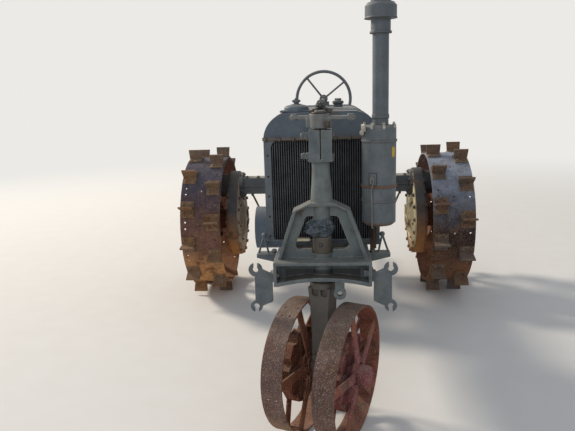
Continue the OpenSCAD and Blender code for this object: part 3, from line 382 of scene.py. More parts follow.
# A mask that is 1 inside a box of real metres and 0 outside it. Each mask is a function of the
# material's nodes, the place and a cloud of noise, which can make its border uneven.
def inside_box(low, high, soft=0.004):
    def mask(tree, place, cloud):
        middle = (Vector(low) + Vector(high)) / 2
        half = (Vector(high) - Vector(low)) / 2
        away = add(tree, "ShaderNodeVectorMath", {0: place, 1: middle}, operation="SUBTRACT")
        away = add(tree, "ShaderNodeVectorMath", {0: away.outputs[0]}, operation="ABSOLUTE")
        past = add(tree, "ShaderNodeVectorMath", {0: away.outputs[0], 1: half}, operation="SUBTRACT")
        sides = add(tree, "ShaderNodeSeparateXYZ", {0: past.outputs[0]})
        most = add(tree, "ShaderNodeMath", {0: sides.outputs[0], 1: sides.outputs[1]}, operation="MAXIMUM")
        most = add(tree, "ShaderNodeMath", {0: most.outputs[0], 1: sides.outputs[2]}, operation="MAXIMUM")
        within = add(tree, "ShaderNodeMapRange",
                     {"Value": most.outputs[0], "From Min": soft, "From Max": -soft})
        return within.outputs[0]
    return mask


bolster_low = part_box("bolster")[0]
recess_half, recess_low_z, recess_high_z, recess_front, recess_deep = 0.170, 0.752, 0.815, 0.006, 0.200
# enamel brushed on sand-cast iron: a dull blue-grey, paler in clouds, with pale edges that are partly
# rubbed and partly a painted highlight
cast_enamel = dict(base="#49535c", faded="#5f6663", rust="#6a4a34", rust_deep="#46342a", patch=0.24,
                   edge=0.75, edge_wear_and_highlight_colour="#989688", mottle=0.28)
grey_casting = weathered("brushed_grey_enamel_on_cast_iron", **cast_enamel)
# the same enamel, with painted shade that turns the recess of the foot nearly black
bolster_paint = weathered("brushed_grey_enamel_with_painted_shade_in_the_web", **cast_enamel, zones=[
    (inside_box((-recess_half, bolster_low.y + recess_front, recess_low_z),
                (recess_half, bolster_low.y + recess_deep, recess_high_z)), "#24292e", "#2f302e")])
finish_node(bolster_paint, "bolster")
big_bolt = make_bolt(0.024, 0.012)
small_bolt = make_bolt(0.016, 0.008)
pocket_wall, pocket_bolt_y, pocket_bolt_z = 0.013, -1.472, 0.800
fasten("bolster_pocket_bolt", small_bolt, bolster_paint, [
    ((bolster_low.x + pocket_wall, pocket_bolt_y, pocket_bolt_z), (1, 0, 0))])


# Split clamp on the column's top: cast iron, drawn together round the post by two bolts whose nuts
# stand out on the tractor's right side.
finish_node(grey_casting, "column_clamp")
clamp_low, clamp_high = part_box("column_clamp")
clamp_ear_x, clamp_bolt_y = 0.050, clamp_low.y + 0.032
clamp_bolt_heights = (clamp_low.z + 0.024, clamp_high.z - 0.024)
fasten("clamp_nuts", big_bolt, grey_casting, [
    ((clamp_low.x + 0.001, clamp_bolt_y, z), (-1, 0, 0)) for z in clamp_bolt_heights])
fasten("clamp_bolt_ends", small_bolt, grey_casting, [
    ((clamp_ear_x, clamp_bolt_y, z), (1, 0, 0)) for z in clamp_bolt_heights])


# Steering post with its cap and cross arm: forged steel, painted, its cap bolted down through the
# arm. The arm's top is pale with dust, and its edges are pale, partly rubbed and partly a painted
# highlight. The bevel sector on it is open and black with old grease.
post_y = joints["steering"]["pos_m"][1]
parked_steer = math.radians(22)
# the steered pieces' own frame, straight ahead, turned to where they are parked
parked_frame = Matrix.Translation((0, post_y, 0)) @ Matrix.Rotation(-parked_steer, 4, "Z")


# A place in that frame, and below it a direction.
def at_post(x, y, z):
    return parked_frame @ Vector((x, y, z))


def way_at_post(x, y, z):
    return parked_frame.to_3x3() @ Vector((x, y, z))


# A mask that rises from 0 at one height to 1 at another, with an uneven border.
def between_heights(low, high, uneven=0.25):
    def mask(tree, place, cloud):
        z = add(tree, "ShaderNodeSeparateXYZ", {0: place}).outputs["Z"]
        wavy = add(tree, "ShaderNodeMath", {0: cloud, 1: uneven, 2: z}, operation="MULTIPLY_ADD")
        shift = uneven / 2
        rise = add(tree, "ShaderNodeMapRange", {"Value": wavy.outputs[0], "From Min": low + shift,
                                                "From Max": high + shift})
        return rise.outputs[0]
    return mask


cap_low_z, arm_top_z, collar_top_z = 1.443, 1.495, 0.975
# enamel rubbed by hands: a satin grey with dust lying pale on the arm, pale edges that are partly wear
# and partly a painted highlight, and an oily brown collar
post_paint = weathered("rubbed_grey_enamel_on_forged_steel", "#535a5e", "#6b6c67", "#74543a", "#4a372b",
                       patch=0.3, edge=0.7, dust=0.8, dust_colour="#c0b8a5", edge_wear_and_highlight_colour="#9a978b",
                       zones=[(between_heights(collar_top_z, collar_top_z - 0.015, 0.0),
                               "#403b34", "#4e483e")])
# grease on the gear's teeth: black-brown and half glossy, with dust caught in it
greasy = weathered("old_grease_on_bevel_gears", "#2d2c2b", "#3c3833", "#5a4330", "#26221f", patch=0.4,
                   rough=0.45, dust_colour="#8d8271")
finish_node(post_paint, "steering_post")
finish_node(greasy, "bevel_sector")
fasten("post_cap_bolts", small_bolt, post_paint, [
    (at_post(x, -0.008, arm_top_z), (0, 0, 1)) for x in (-0.040, 0.038)], "steered_post")
cap_nut = rounded_block("post_cap_rusty_nut", (0.034, -0.044, cap_low_z + 0.006),
                        (0.058, -0.022, cap_low_z + 0.030), 0.004)
cap_nut.data.transform(parked_frame)
finish(cap_nut, greasy, "steered_post")
# the collar's set screw is near black as painted shade, for the dark hole it sits in
collar_screw = make_bolt(0.014, 0.004, washer=0.003)
fasten("collar_set_screw", collar_screw, greasy, [
    (at_post(0.010, -0.0425, 0.928), way_at_post(0.2, -1, 0))], "steered_post")


# Spindle and front axle: two grey iron castings bolted foot to foot under the post; the axle's stub
# shafts carry the wheels. Brown dust and bare rust near the wheels.

# enamel under road dust: a warm brown-grey, duller than the bolster above it
spindle_iron = weathered("dusty_grey_enamel_on_cast_iron", "#423f3b", "#504c46", "#6d4c36", "#3d2d25",
                         patch=0.34, edge=0.7)
finish_node(spindle_iron, "spindle", "front_axle")
flange_bolt_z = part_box("spindle")[0].z + 0.025
fasten("spindle_side_bolts", big_bolt, spindle_iron, [
    (at_post(x, -0.0495, flange_bolt_z), way_at_post(0, -1, 0)) for x in (-0.026, 0.026)], "steered_post")


# Front wheels: a flat rolled tread band, flat bars bent over it as spokes, and a cast centre with a
# domed cap. Treads are brown with dust; the left centre keeps pink-red paint, the right is bare rust.
camber = math.radians(1.4)
front_axle_z = joints["front_left_spin"]["pos_m"][2]
front_gap, front_width, front_r = 0.070, 0.102, 0.3175


# The frame of a front wheel, its Z along the axle and outwards.
def wheel_frame(side):
    turn = -parked_steer if side > 0 else math.pi - parked_steer
    return (Matrix.Translation((0, post_y, front_axle_z)) @ Matrix.Rotation(turn, 4, "Z")
            @ Matrix.Rotation(math.pi / 2 + camber, 4, "Y"))


# A mask that is 1 inside a radius from a wheel's axis and 0 outside it.
def inside_radius(centre, axis, radius, soft=0.008):
    def mask(tree, place, cloud):
        from_centre = add(tree, "ShaderNodeVectorMath", {0: place, 1: centre}, operation="SUBTRACT")
        across = add(tree, "ShaderNodeVectorMath", {0: from_centre.outputs[0], 1: axis},
                     operation="CROSS_PRODUCT")
        far = add(tree, "ShaderNodeVectorMath", {0: across.outputs[0]}, operation="LENGTH")
        near = add(tree, "ShaderNodeMapRange", {"Value": far.outputs["Value"], "From Min": radius + soft,
                                                "From Max": radius - soft})
        return near.outputs[0]
    return mask


# A point of a wheel's axis and its direction.
def wheel_axis(name):
    joint = joints[name]
    return Vector(joint["pos_m"]), Vector(joint["axis"])


# Rust baked onto a rolled band, 8 mm thick: matt brown, with sand in it, pale on its edges, partly
# where they were rubbed and partly as a painted highlight, and lighter where it meets the road. These
# radii part the tread from the spokes and the centre.
tread_inside, left_centre, left_cap, right_centre = 0.3135, 0.215, 0.115, 0.200
tread_rust = dict(shine=0.25, patch=0.45, bump=0.55, edge=0.8, edge_mm=4, dust=0.4, mottle=0.24, specks=0.5)
road_low, road_high = 0.02, 0.20
left_place, left_axis = wheel_axis("front_left_spin")
right_place, right_axis = wheel_axis("front_right_spin")
# inside the band rust turns red-orange; the casting and its cap keep a chalky pink-red enamel
left_finish = weathered(
    "brown_rusty_tread_with_red_painted_centre", "#503a36", "#684c46", "#6c4736", "#33231f", **tread_rust,
    rough=0.82, edge_wear_and_highlight_colour="#a08a70", zones=[
        (between_heights(road_high, road_low), "#79593f", "#8a6b50"),
        (inside_radius(left_place, left_axis, tread_inside, 0.001), "#8e4c36", "#774437"),
        (inside_radius(left_place, left_axis, left_centre, 0.02), "#78393a", "#8a4b49"),
        (inside_radius(left_place, left_axis, left_cap, 0.01), "#4f2c2f", "#9a5257")])
# the other centre has lost its paint: dark red-brown and orange rust in uneven blots
right_finish = weathered(
    "brown_rusty_tread_with_orange_rusty_centre", "#513c37", "#694f49", "#78482f", "#33221d", **tread_rust,
    rough=0.85, edge_wear_and_highlight_colour="#aa9274", zones=[
        (between_heights(road_high, road_low), "#77563b", "#8a694c"),
        (inside_radius(right_place, right_axis, tread_inside, 0.001), "#86482a", "#643823"),
        (inside_radius(right_place, right_axis, right_centre, 0.03), "#3f1c17", "#8f4a2a")])
finish_node(left_finish, "front_wheel_left")
finish_node(right_finish, "front_wheel_right")


# Round-headed rivet with a low crown, standing on z = 0.
def make_rivet(radius, height):
    bpy.ops.object.select_all(action="DESELECT")
    bpy.ops.mesh.primitive_cylinder_add(vertices=12, radius=radius, depth=height + 0.001,
                                        location=(0, 0, (height - 0.001) / 2))
    rivet = bpy.context.object
    bpy.ops.object.transform_apply(location=True, rotation=True, scale=True)
    for edge in rivet.data.edges:
        edge.select = all(abs(rivet.data.vertices[v].co.z - height) < 1e-5 for v in edge.vertices)
    bpy.ops.object.mode_set(mode="EDIT")
    bpy.ops.mesh.select_mode(type="EDGE")
    bpy.ops.mesh.bevel(offset=height * 0.9, segments=3, affect="EDGES")
    bpy.ops.object.mode_set(mode="OBJECT")
    bpy.ops.object.shade_smooth_by_angle(angle=math.radians(50))
    patterns.append(rivet)
    return rivet


spoke_rivet = make_rivet(0.008, 0.003)
hub_bolt = make_bolt(0.019, 0.009)
spokes, rivet_across, hub_bolt_r = 5, 0.030, 0.064
for side, name, phase, coat, slot in [(1, "left", 48, left_finish, "red_rusty_steel"),
                                      (-1, "right", 22, right_finish, "orange_rusty_steel")]:
    wheel = wheel_frame(side)
    middle = front_gap + front_width / 2
    rivets, bolts = [], []
    for spoke in range(spokes):
        turn = math.radians(phase + 360 / spokes * spoke)
        out = Vector((math.cos(turn), math.sin(turn), 0))
        for across in (-rivet_across, rivet_across):
            rivets.append((wheel @ (out * (front_r - 0.0008) + Vector((0, 0, middle + across))),
                           wheel.to_3x3() @ out))
        for face, way in [(front_gap + 0.0055, -1), (front_gap + front_width - 0.0065, 1)]:
            bolts.append((wheel @ (out * hub_bolt_r + Vector((0, 0, face))),
                          wheel.to_3x3() @ Vector((0, 0, way))))
    fasten(f"front_{name}_tread_rivets", spoke_rivet, coat, rivets, f"front_{name}")
    fasten(f"front_{name}_hub_bolts", hub_bolt, coat, bolts, f"front_{name}")


# Frame rails and what is bolted to the front of the frame: rolled channels, flame-cut plates with
# hooks for implements, and arms with ball-topped standards. Painted grey, worn at the hooks.
finish_node(grey_casting, "frame_rails", "side_brackets", "side_arms")
bracket_bolt_x, bracket_bolt_z = 0.2305, 0.777
fasten("side_bracket_bolts", big_bolt, grey_casting, [
    ((side * bracket_bolt_x, y, bracket_bolt_z), (0, 0, 1)) for side in (-1, 1) for y in (-1.415, -1.375)])
arm_low, arm_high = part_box("side_arms")
arm_bolt_x, arm_flat_z = 0.240, arm_high.z - 0.101
fasten("side_arm_bolts", big_bolt, grey_casting, [
    ((side * arm_bolt_x, arm_low.y + y, arm_flat_z), (0, 0, 1)) for side in (-1, 1) for y in (0.016, 0.044)])


# Radiator: a core of flat brass tubes crossed by thin fins, painted dark, between pressed side
# strips and two cast tanks that are bolted on round their flanges.


# A mask that is 1 on what stands in front of this Y, and 0 behind it.
def in_front_of(y):
    def mask(tree, place, cloud):
        along = add(tree, "ShaderNodeSeparateXYZ", {0: place}).outputs["Y"]
        return add(tree, "ShaderNodeMapRange", {"Value": along, "From Min": y + 0.0008,
                                                "From Max": y - 0.0008}).outputs[0]
    return mask


core_low, core_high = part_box("radiator_core")
# matt black paint on brass tubes, darkened to near black as painted shade in the core's depth, with
# the tubes' front faces paler, partly worn to a dull metal and partly a painted highlight
core_paint_and_shade = weathered("dark_paint_and_painted_shade_on_brass_radiator_core", "#0a0b0e", "#131519", "#33312d", "#0f0f0e",
                       patch=0.12, edge=0.1, bump=0.1, rough=0.8, grain_mm=3, mottle=0.3, mottle_mm=90,
                       dust=0.04, shine=0.1, zones=[(in_front_of(core_low.y + 0.002), "#5a5f65", "#76797a")])
finish_node(core_paint_and_shade, "radiator_core")
finish_node(grey_casting, "radiator_base")
# enamel on smooth pressed sheet: an even blue-grey with a low sheen and few rust spots
grey_sheet = weathered("blue_grey_enamel_on_pressed_steel", "#525b61", "#636a6a", "#6b4b36", "#463529",
                       patch=0.15, edge=0.7, mottle=0.2, grain_mm=5, bump=0.15, rough=0.5)
finish_node(grey_sheet, "radiator_sides")
flange_top_z, flange_border = 1.378, 0.012
# the tank's enamel is bluer, and oily brown dirt lies along the flange under it
tank_iron = weathered(
    "blue_grey_enamel_on_cast_tank", "#3e4b57", "#4e5a64", "#76553f", "#46342a", patch=0.14, edge=0.7,
    rough=0.5, mottle=0.2,
    zones=[(between_heights(flange_top_z + flange_border, flange_top_z, flange_border),
            "#61513f", "#484640")])
finish_node(tank_iron, "radiator_top", "radiator_cap")


# Copies a model to each of these steps away, without a turn.
def shifted(name, model, steps):
    copies = []
    for step in steps:
        copy = model.copy()
        copy.data = model.data.copy()
        bpy.context.scene.collection.objects.link(copy)
        copy.data.transform(Matrix.Translation(step))
        copies.append(copy)
    return join(name, copies)


fin_pitch, fin_y = 0.0115, core_low.y + 0.0035
fin = rounded_block("fin", (core_low.x + 0.002, -0.0012, -0.0009),
                    (core_high.x - 0.002, 0.0012, 0.0009), 0.0003, 1)
patterns.append(fin)
fin_count = int((core_high.z - core_low.z) / fin_pitch)
core_fins = shifted("radiator_core_fins", fin, [
    (0, fin_y, core_low.z + 0.006 + fin_pitch * level) for level in range(fin_count)])
finish(core_fins, core_paint_and_shade, "chassis")
# black-brown rust on small steel parts: dark, dry and without a shine
dark_rust = weathered("black_brown_rust_on_steel", "#33271f", "#483629", "#5a3f2c", "#221b17",
                      patch=0.5, rough=0.9)
strip_x, strip_face = 0.260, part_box("radiator_sides")[0].y
fasten("radiator_strip_rivets", make_rivet(0.0055, 0.0022), dark_rust, [
    ((side * strip_x, strip_face, z), (0, -1, 0))
    for side in (-1, 1) for z in (1.300, 1.198, 1.100, 1.000, 0.900)])
top_low, top_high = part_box("radiator_top")
flange_pitch, flange_bolt_count = 0.067, 9
fasten("radiator_flange_bolts", small_bolt, tank_iron, [
    ((flange_pitch * (place - (flange_bolt_count - 1) / 2), top_low.y + 0.0003, top_low.z + 0.006),
     (0, -1, 0))
    for place in range(flange_bolt_count)])


# Radiator cap with its lid plate: a pressed dome under a T-handled screw, on a raised plate with
# rounded corners that closes the filler opening. Painted with the tank.


# A piece turned round an upright axis from its outline, given as rows of radius and height.
def turned(name, outline, centre, steps=40):
    mesh = bpy.data.meshes.new(name)
    mesh.from_pydata([(radius, 0, height) for radius, height in outline],
                     [(row, row + 1) for row in range(len(outline) - 1)], [])
    piece = bpy.data.objects.new(name, mesh)
    bpy.context.scene.collection.objects.link(piece)
    pick(piece)
    bpy.ops.object.mode_set(mode="EDIT")
    bpy.ops.mesh.select_all(action="SELECT")
    bpy.ops.mesh.spin(steps=steps, angle=2 * math.pi, center=(0, 0, 0), axis=(0, 0, 1))
    bpy.ops.mesh.select_all(action="SELECT")
    bpy.ops.mesh.remove_doubles(threshold=0.00002)
    bpy.ops.mesh.normals_make_consistent(inside=False)
    bpy.ops.object.mode_set(mode="OBJECT")
    bpy.ops.object.shade_smooth_by_angle(angle=math.radians(32))
    piece.data.transform(Matrix.Translation(centre))
    return piece


# The middle of a part of the frame, seen from above, at this height.
def over_middle(name, z):
    low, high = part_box(name)
    return Vector(((low.x + high.x) / 2, (low.y + high.y) / 2, z))


plate = rounded_block("radiator_lid_plate", (-0.196, top_low.y + 0.016, top_high.z - 0.001),
                      (-0.018, top_low.y + 0.118, top_high.z + 0.009), 0.0045, 3)
finish(plate, tank_iron, "chassis")
cap_place = over_middle("radiator_cap", top_high.z)
dome = turned("radiator_cap_dome", [
    (0.0, 0.038), (0.0225, 0.038), (0.0245, 0.0355), (0.036, 0.0328), (0.051, 0.0285), (0.0575, 0.0235),
    (0.0595, 0.018), (0.0595, 0.0), (0.0, 0.0)], cap_place)
finish(dome, tank_iron, "chassis")
screw = turned("cap_screw", [
    (0.0, 0.066), (0.006, 0.066), (0.0085, 0.063), (0.0085, 0.056), (0.013, 0.053), (0.014, 0.044),
    (0.011, 0.037), (0.0, 0.037)], cap_place, 20)
grip_turn = math.radians(20)
grip = rounded_block("cap_grip", (-0.021, -0.0065, 0.0455), (0.021, 0.0065, 0.0575), 0.005, 3)
grip.data.transform(Matrix.Translation(cap_place) @ Matrix.Rotation(grip_turn, 4, "Z"))
finish(join("radiator_cap_handle", [screw, grip]), tank_iron, "chassis")


# Fuel tank that is also the hood: welded sheet steel with a rolled seam at each end, held down by
# two strap bands. Blue-grey paint, dusty on top.

# enamel on rolled sheet: smoother and bluer than on the castings, with a pale dusty top
hood_paint = weathered("dusty_blue_grey_enamel_on_tank_sheet", "#435260", "#566370", "#6b4b36", "#463529",
                       patch=0.18, mottle=0.2, edge=0.7, grain_mm=5, bump=0.15, rough=0.5, dust=0.5)
finish_node(hood_paint, "fuel_tank")
tank_low, tank_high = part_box("fuel_tank")


# The two measures of a place on an upright circle, this many degrees round it.
def on_circle(across, up, radius, degrees):
    turn = math.radians(degrees)
    return across + radius * math.cos(turn), up + radius * math.sin(turn)


# Outline of the hood in X and Z, from the left lower edge over the shoulders, pushed out by a gap.
def hood_outline(gap):
    half, shoulder = tank_high.x, 0.130
    rows = [(half + gap, tank_low.z + 0.012)]
    rows += [on_circle(half - shoulder, tank_high.z - shoulder, shoulder + gap, 7.5 * step)
             for step in range(13)]
    return rows + [(-x, z) for x, z in reversed(rows)]


# A band that lies over the hood, from y to y + width.
def hood_band(name, y, width, thickness):
    rows = hood_outline(0.0002)
    count = len(rows)
    mesh = bpy.data.meshes.new(name)
    mesh.from_pydata([(x, y, z) for x, z in rows] + [(x, y + width, z) for x, z in rows], [],
                     [(i, i + 1, count + i + 1, count + i) for i in range(count - 1)])
    band = bpy.data.objects.new(name, mesh)
    bpy.context.scene.collection.objects.link(band)
    pick(band)
    thicken = band.modifiers.new("thickness", "SOLIDIFY")
    thicken.thickness = thickness
    thicken.offset = 1 if mesh.polygons[count // 2].normal.z > 0 else -1
    bpy.ops.object.modifier_apply(modifier="thickness")
    bpy.ops.object.mode_set(mode="EDIT")
    bpy.ops.mesh.select_all(action="SELECT")
    bpy.ops.mesh.normals_make_consistent(inside=False)
    bpy.ops.object.mode_set(mode="OBJECT")
    soften = band.modifiers.new("edges", "BEVEL")
    soften.width, soften.segments, soften.limit_method = thickness * 0.35, 2, "ANGLE"
    bpy.ops.object.modifier_apply(modifier="edges")
    bpy.ops.object.shade_smooth_by_angle(angle=math.radians(35))
    return band


seam_wide, seam_thick, strap_wide, strap_thick = 0.014, 0.0025, 0.036, 0.003
strap_places = (0.225, 0.735)
bands = [hood_band("seam", y, seam_wide, seam_thick) for y in (tank_low.y + 0.012, tank_high.y - 0.026)]
finish(join("hood_end_seams", bands), hood_paint, "chassis")
straps = [hood_band("strap", tank_low.y + y, strap_wide, strap_thick) for y in strap_places]
strap_bolts = spread("strap_bolt", small_bolt, [
    ((side * (tank_high.x + strap_thick), tank_low.y + y + strap_wide / 2, tank_low.z + 0.034), (side, 0, 0))
    for side in (-1, 1) for y in strap_places])
finish(join("hood_straps", [*straps, strap_bolts]), hood_paint, "chassis")


# Filler cap of the fuel tank: a cast screw cap with a bar to turn it by, on a short soldered neck.
# It takes the place of the plain one, and kept its dark enamel.
fuel_cap_place = over_middle("fuel_cap", tank_high.z)
neck = turned("neck", [
    (0.0, 0.046), (0.012, 0.046), (0.0155, 0.043), (0.0165, 0.037), (0.029, 0.0355), (0.0325, 0.032),
    (0.0325, 0.021), (0.0295, 0.0185), (0.0265, 0.018), (0.0265, 0.002), (0.031, 0.0), (0.0, 0.0)],
    fuel_cap_place, 32)
bar = rounded_block("bar", (-0.020, -0.0045, 0.0385), (0.020, 0.0045, 0.0495), 0.0035, 3)
bar.data.transform(Matrix.Translation(fuel_cap_place))
# enamel on a small casting: a plain dark slate with worn brown edges
cap_enamel = weathered("dark_enamel_on_filler_cap", "#33393f", "#494f52", "#5b4636", "#2c2622", patch=0.25)
fuel_cap = finish(join("fuel_filler_cap", [neck, bar]), cap_enamel, "chassis")
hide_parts("fuel_cap")


# Air cleaner and its stack: rolled sheet steel cans with seams, the lower one held up by a wire
# bail over a toggle, the upper rim by wing nuts. Grey paint, rust along the middle band.
cleaner_place = Vector((0.262, -1.2856, 0))
can_r, can_foot_z, clamp_z = 0.0765, 0.996, 1.1645
# enamel on rolled cans: an even soft grey with a low sheen, and rust along the lower edge
cleaner_paint = weathered(
    "grey_enamel_on_rolled_sheet", "#475159", "#555d61", "#7a583c", "#4b382b", patch=0.17, edge=0.65,
    mottle=0.2, grain_mm=4, bump=0.2, rough=0.55,
    zones=[(between_heights(can_foot_z + 0.016, can_foot_z, 0.03), "#6e513d", "#4d3a2e")])
finish_node(cleaner_paint, "air_cleaner", "air_stack", "air_pipe")
# rust on a thin band that lost its paint: warm brown and dry
band_rust = weathered("brown_rust_on_clamp_band", "#5f4636", "#735643", "#7a5236", "#3c2b22",
                      patch=0.6, rough=0.9)
ring = turned("cleaner_rusty_band", [
    (0.0805, 0.0), (0.0822, 0.001), (0.0826, 0.005), (0.0822, 0.0105), (0.0805, 0.0115), (0.0805, 0.0)],
    cleaner_place + Vector((0, 0, clamp_z)), 56)
finish(ring, band_rust, "chassis")


# Turns a flat piece that was made in front of the cleaner (facing -Y, depth measured from 0) round
# its shell, with its middle at this angle from the front towards +X.
def wrap_cleaner(piece, angle, height, radius):
    for vertex in piece.data.vertices:
        turn = math.radians(angle) + vertex.co.x / radius
        out = radius - vertex.co.y
        vertex.co = cleaner_place + Vector((out * math.sin(turn), -out * math.cos(turn),
                                            height + vertex.co.z))
    return piece


rim_z, lug_pitch, toggle_angle = 1.440, 45, -25
wing_parts = []
for place in range(8):
    # every second one stands a little askew
    angle = -78 + lug_pitch * place + (4 if place % 2 else 0)
    for name, low, high, radius, up in [
            ("lug", (-0.006, -0.0020, -0.013), (0.006, 0.0040, 0.004), 0.0018, 0),
            ("nut", (-0.0055, 0.0015, 0.000), (0.0055, 0.0115, 0.008), 0.0028, 0.002),
            ("wing", (-0.0095, 0.0045, 0.004), (0.0095, 0.0085, 0.013), 0.0018, 0.002)]:
        wing_parts.append(wrap_cleaner(rounded_block(name, low, high, radius), angle, rim_z + up, can_r))
# cast wing nuts rubbed to bare metal by fingers: pale and rather bright, partly as a painted
# highlight where light catches them, mottled with old paint
pale_nuts = weathered("pale_bare_steel_with_painted_highlight", "#9a9b95", "#b3b0a4", "#7a644c", "#4b3d31", patch=0.3,
                      rough=0.45, dust=0.2, mottle=0.4, mottle_mm=18)
finish(join("cleaner_wing_nuts", wing_parts), pale_nuts, "chassis")
ear = rounded_block("ear", (-0.017, -0.008, -0.030), (0.017, 0.0, 0.004), 0.0038, 3)
curl = rounded_block("curl", (-0.012, -0.015, -0.046), (0.012, 0.0, -0.024), 0.007, 4)
wrap_cleaner(ear, -64, rim_z + 0.005, can_r + 0.001)
wrap_cleaner(curl, -69, rim_z + 0.005, can_r + 0.001)
# the bracket's ear has the same pale steel with its painted highlight
finish(join("cleaner_bracket_ear", [ear, curl]), pale_nuts, "chassis")
toggle = rounded_block("toggle", (-0.018, -0.004, -0.028), (0.018, 0.0, 0.028), 0.0035, 3)
wrap_cleaner(toggle, toggle_angle, 1.206, can_r + 0.001)
pin = rounded_block("pin", (-0.004, -0.011, -0.006), (0.004, 0.0, 0.006), 0.002, 2)
wrap_cleaner(pin, toggle_angle - 1, 1.205, can_r + 0.001)
finish(join("cleaner_toggle", [toggle, pin]), cleaner_paint, "chassis")


# A bent wire or rod through these points.
def bent_rod(name, points, radius):
    line = bpy.data.curves.new(name, "CURVE")
    line.dimensions = "3D"
    line.bevel_depth = radius
    line.bevel_resolution = 3
    line.use_fill_caps = True
    line.resolution_u = 6
    spline = line.splines.new("BEZIER")
    spline.bezier_points.add(len(points) - 1)
    for point, place in zip(spline.bezier_points, points):
        point.co = place
        point.handle_left_type = point.handle_right_type = "AUTO"
    rod = bpy.data.objects.new(name, line)
    bpy.context.scene.collection.objects.link(rod)
    pick(rod)
    bpy.ops.object.convert(target="MESH")
    bpy.ops.object.shade_smooth_by_angle(angle=math.radians(50))
    return bpy.context.object


# A place beside the cleaner, at this angle from the front and this far from its axis.
def by_cleaner(angle, out, z):
    turn = math.radians(angle)
    return cleaner_place + Vector((out * math.sin(turn), -out * math.cos(turn), z))


bail = bent_rod("cleaner_wire_bail", [
    by_cleaner(-26, 0.070, 0.9815), by_cleaner(-26, 0.0815, 0.986), by_cleaner(-26, 0.0835, 1.010),
    by_cleaner(-26, 0.0842, 1.100), by_cleaner(-26, 0.0872, 1.168), by_cleaner(-22.5, 0.0872, 1.183),
    by_cleaner(-21, 0.0862, 1.200), by_cleaner(-25, 0.0855, 1.216), by_cleaner(-29, 0.086, 1.202),
    by_cleaner(-27.5, 0.087, 1.186)], 0.0034)
# spring wire, painted with the can and rubbed bare in places: grey with a soft shine
rubbed_steel = weathered("rubbed_bare_steel_with_paint_left", "#5d6265", "#74776f", "#7a583c", "#4b382b",
                         patch=0.3, rough=0.5, dust=0.2)
finish(bail, rubbed_steel, "chassis")
label_face = rounded_block("blank_yellow_plate", (-0.012, -0.0012, -0.023), (0.012, 0.0002, 0.023), 0.0006, 1)
wrap_cleaner(label_face, 50, 1.325, can_r + 0.0007)
# sun-bleached enamel on thin tin: a flat, faded yellow
label_paint = weathered("faded_yellow_enamel_on_thin_plate", "#c9a92c", "#b79a3c", "#8c7440", "#6b5a34",
                        patch=0.3, edge=0.3, rough=0.5, bump=0.1)
finish(label_face, label_paint, "chassis")
foot_parts = [
    rounded_block("upright", (0.226, -1.232, 0.852), (0.256, -1.218, 0.992), 0.003),
    rounded_block("shelf", (0.226, -1.300, 0.980), (0.262, -1.219, 0.9885), 0.002),
    rounded_block("gusset", (0.238, -1.262, 0.900), (0.246, -1.224, 0.985), 0.002)]
finish(join("cleaner_rusty_foot", foot_parts), dark_rust, "chassis")
stack_foot = Vector((0.268, -1.2856, 1.470))
stack_clamp = turned("stack_clamp_band", [
    (0.0362, 0.0), (0.0385, 0.0005), (0.0390, 0.006), (0.0385, 0.0195), (0.0362, 0.020), (0.0362, 0.0)],
    stack_foot, 40)
finish(stack_clamp, cleaner_paint, "chassis")


# Shaft stands: small iron castings on the radiator's tank and behind the hood, each bolted down by
# its foot, that hold the steering shaft up. Grey enamel as on the bolster.
finish_node(grey_casting, "shaft_stands")
stand_foot_z = top_high.z + 0.0079
fasten("shaft_stand_bolts", small_bolt, grey_casting, [
    ((side * 0.024, top_low.y + y, stand_foot_z), (0, 0, 1)) for side in (-1, 1) for y in (0.036, 0.076)])


# Engine: grey iron block and head, a pressed valve cover and an oil pan bolted on all round. Dirty
# grey paint with oil and dust; the manifold never kept its paint and is all rust.

# enamel under oil and dust: a greenish grey, dark and soft in the hollows
engine_iron = weathered("oily_grey_enamel_on_engine_castings", "#4a4d4e", "#5a5a54", "#654a38", "#332a24",
                        patch=0.3, edge=0.6, dust=0.5)
finish_node(engine_iron, "engine_block", "cylinder_head", "oil_pan")
# scale from heat: rough red-brown iron with no shine at all
manifold_rust = weathered("scaly_rust_on_exhaust_iron", "#6b4230", "#7f5440", "#8c5a3a", "#38241c", patch=0.6,
                          rough=0.92, bump=0.6)
finish_node(manifold_rust, "manifold")
# enamel on small machined castings: nearly black, with brown wear
magneto_paint = weathered("dark_enamel_on_magneto", "#303336", "#43464a", "#5b4636", "#2c2622", patch=0.25)
finish_node(magneto_paint, "magneto")
head_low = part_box("cylinder_head")[0]
pan_low, pan_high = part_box("oil_pan")
engine_side, head_top_z, head_bolt_x = 0.115, 1.160, 0.098
head_bolts = [((side * head_bolt_x, head_low.y + 0.075 + 0.0735 * place, head_top_z), (0, 0, 1))
              for side in (-1, 1) for place in range(8)]
pan_bolts = [((side * engine_side, pan_low.y + 0.05 + 0.082 * place, pan_high.z + 0.014), (side, 0, 0))
             for side in (-1, 1) for place in range(8)]
fasten("engine_head_bolts", big_bolt, engine_iron, head_bolts)
fasten("oil_pan_bolts", small_bolt, engine_iron, pan_bolts)
cover_long, cover_low_z, cover_high_z, cover_thick = 0.215, 0.940, 1.056, 0.006
side_plates = []
for y in (0.070, 0.340):
    start = head_low.y + y
    side_plates.append(rounded_block("cover", (-engine_side - cover_thick, start, cover_low_z),
                                     (-engine_side + 0.001, start + cover_long, cover_high_z), 0.0055, 3))
    side_plates.append(spread("cover_bolts", small_bolt, [
        ((-engine_side - cover_thick, start + along, z), (-1, 0, 0))
        for along in (0.02, cover_long - 0.02) for z in (cover_low_z + 0.02, cover_high_z - 0.02)]))
finish(join("engine_side_covers", side_plates), engine_iron, "chassis")
mag_low, mag_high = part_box("magneto")
terminal_pitch = 0.020
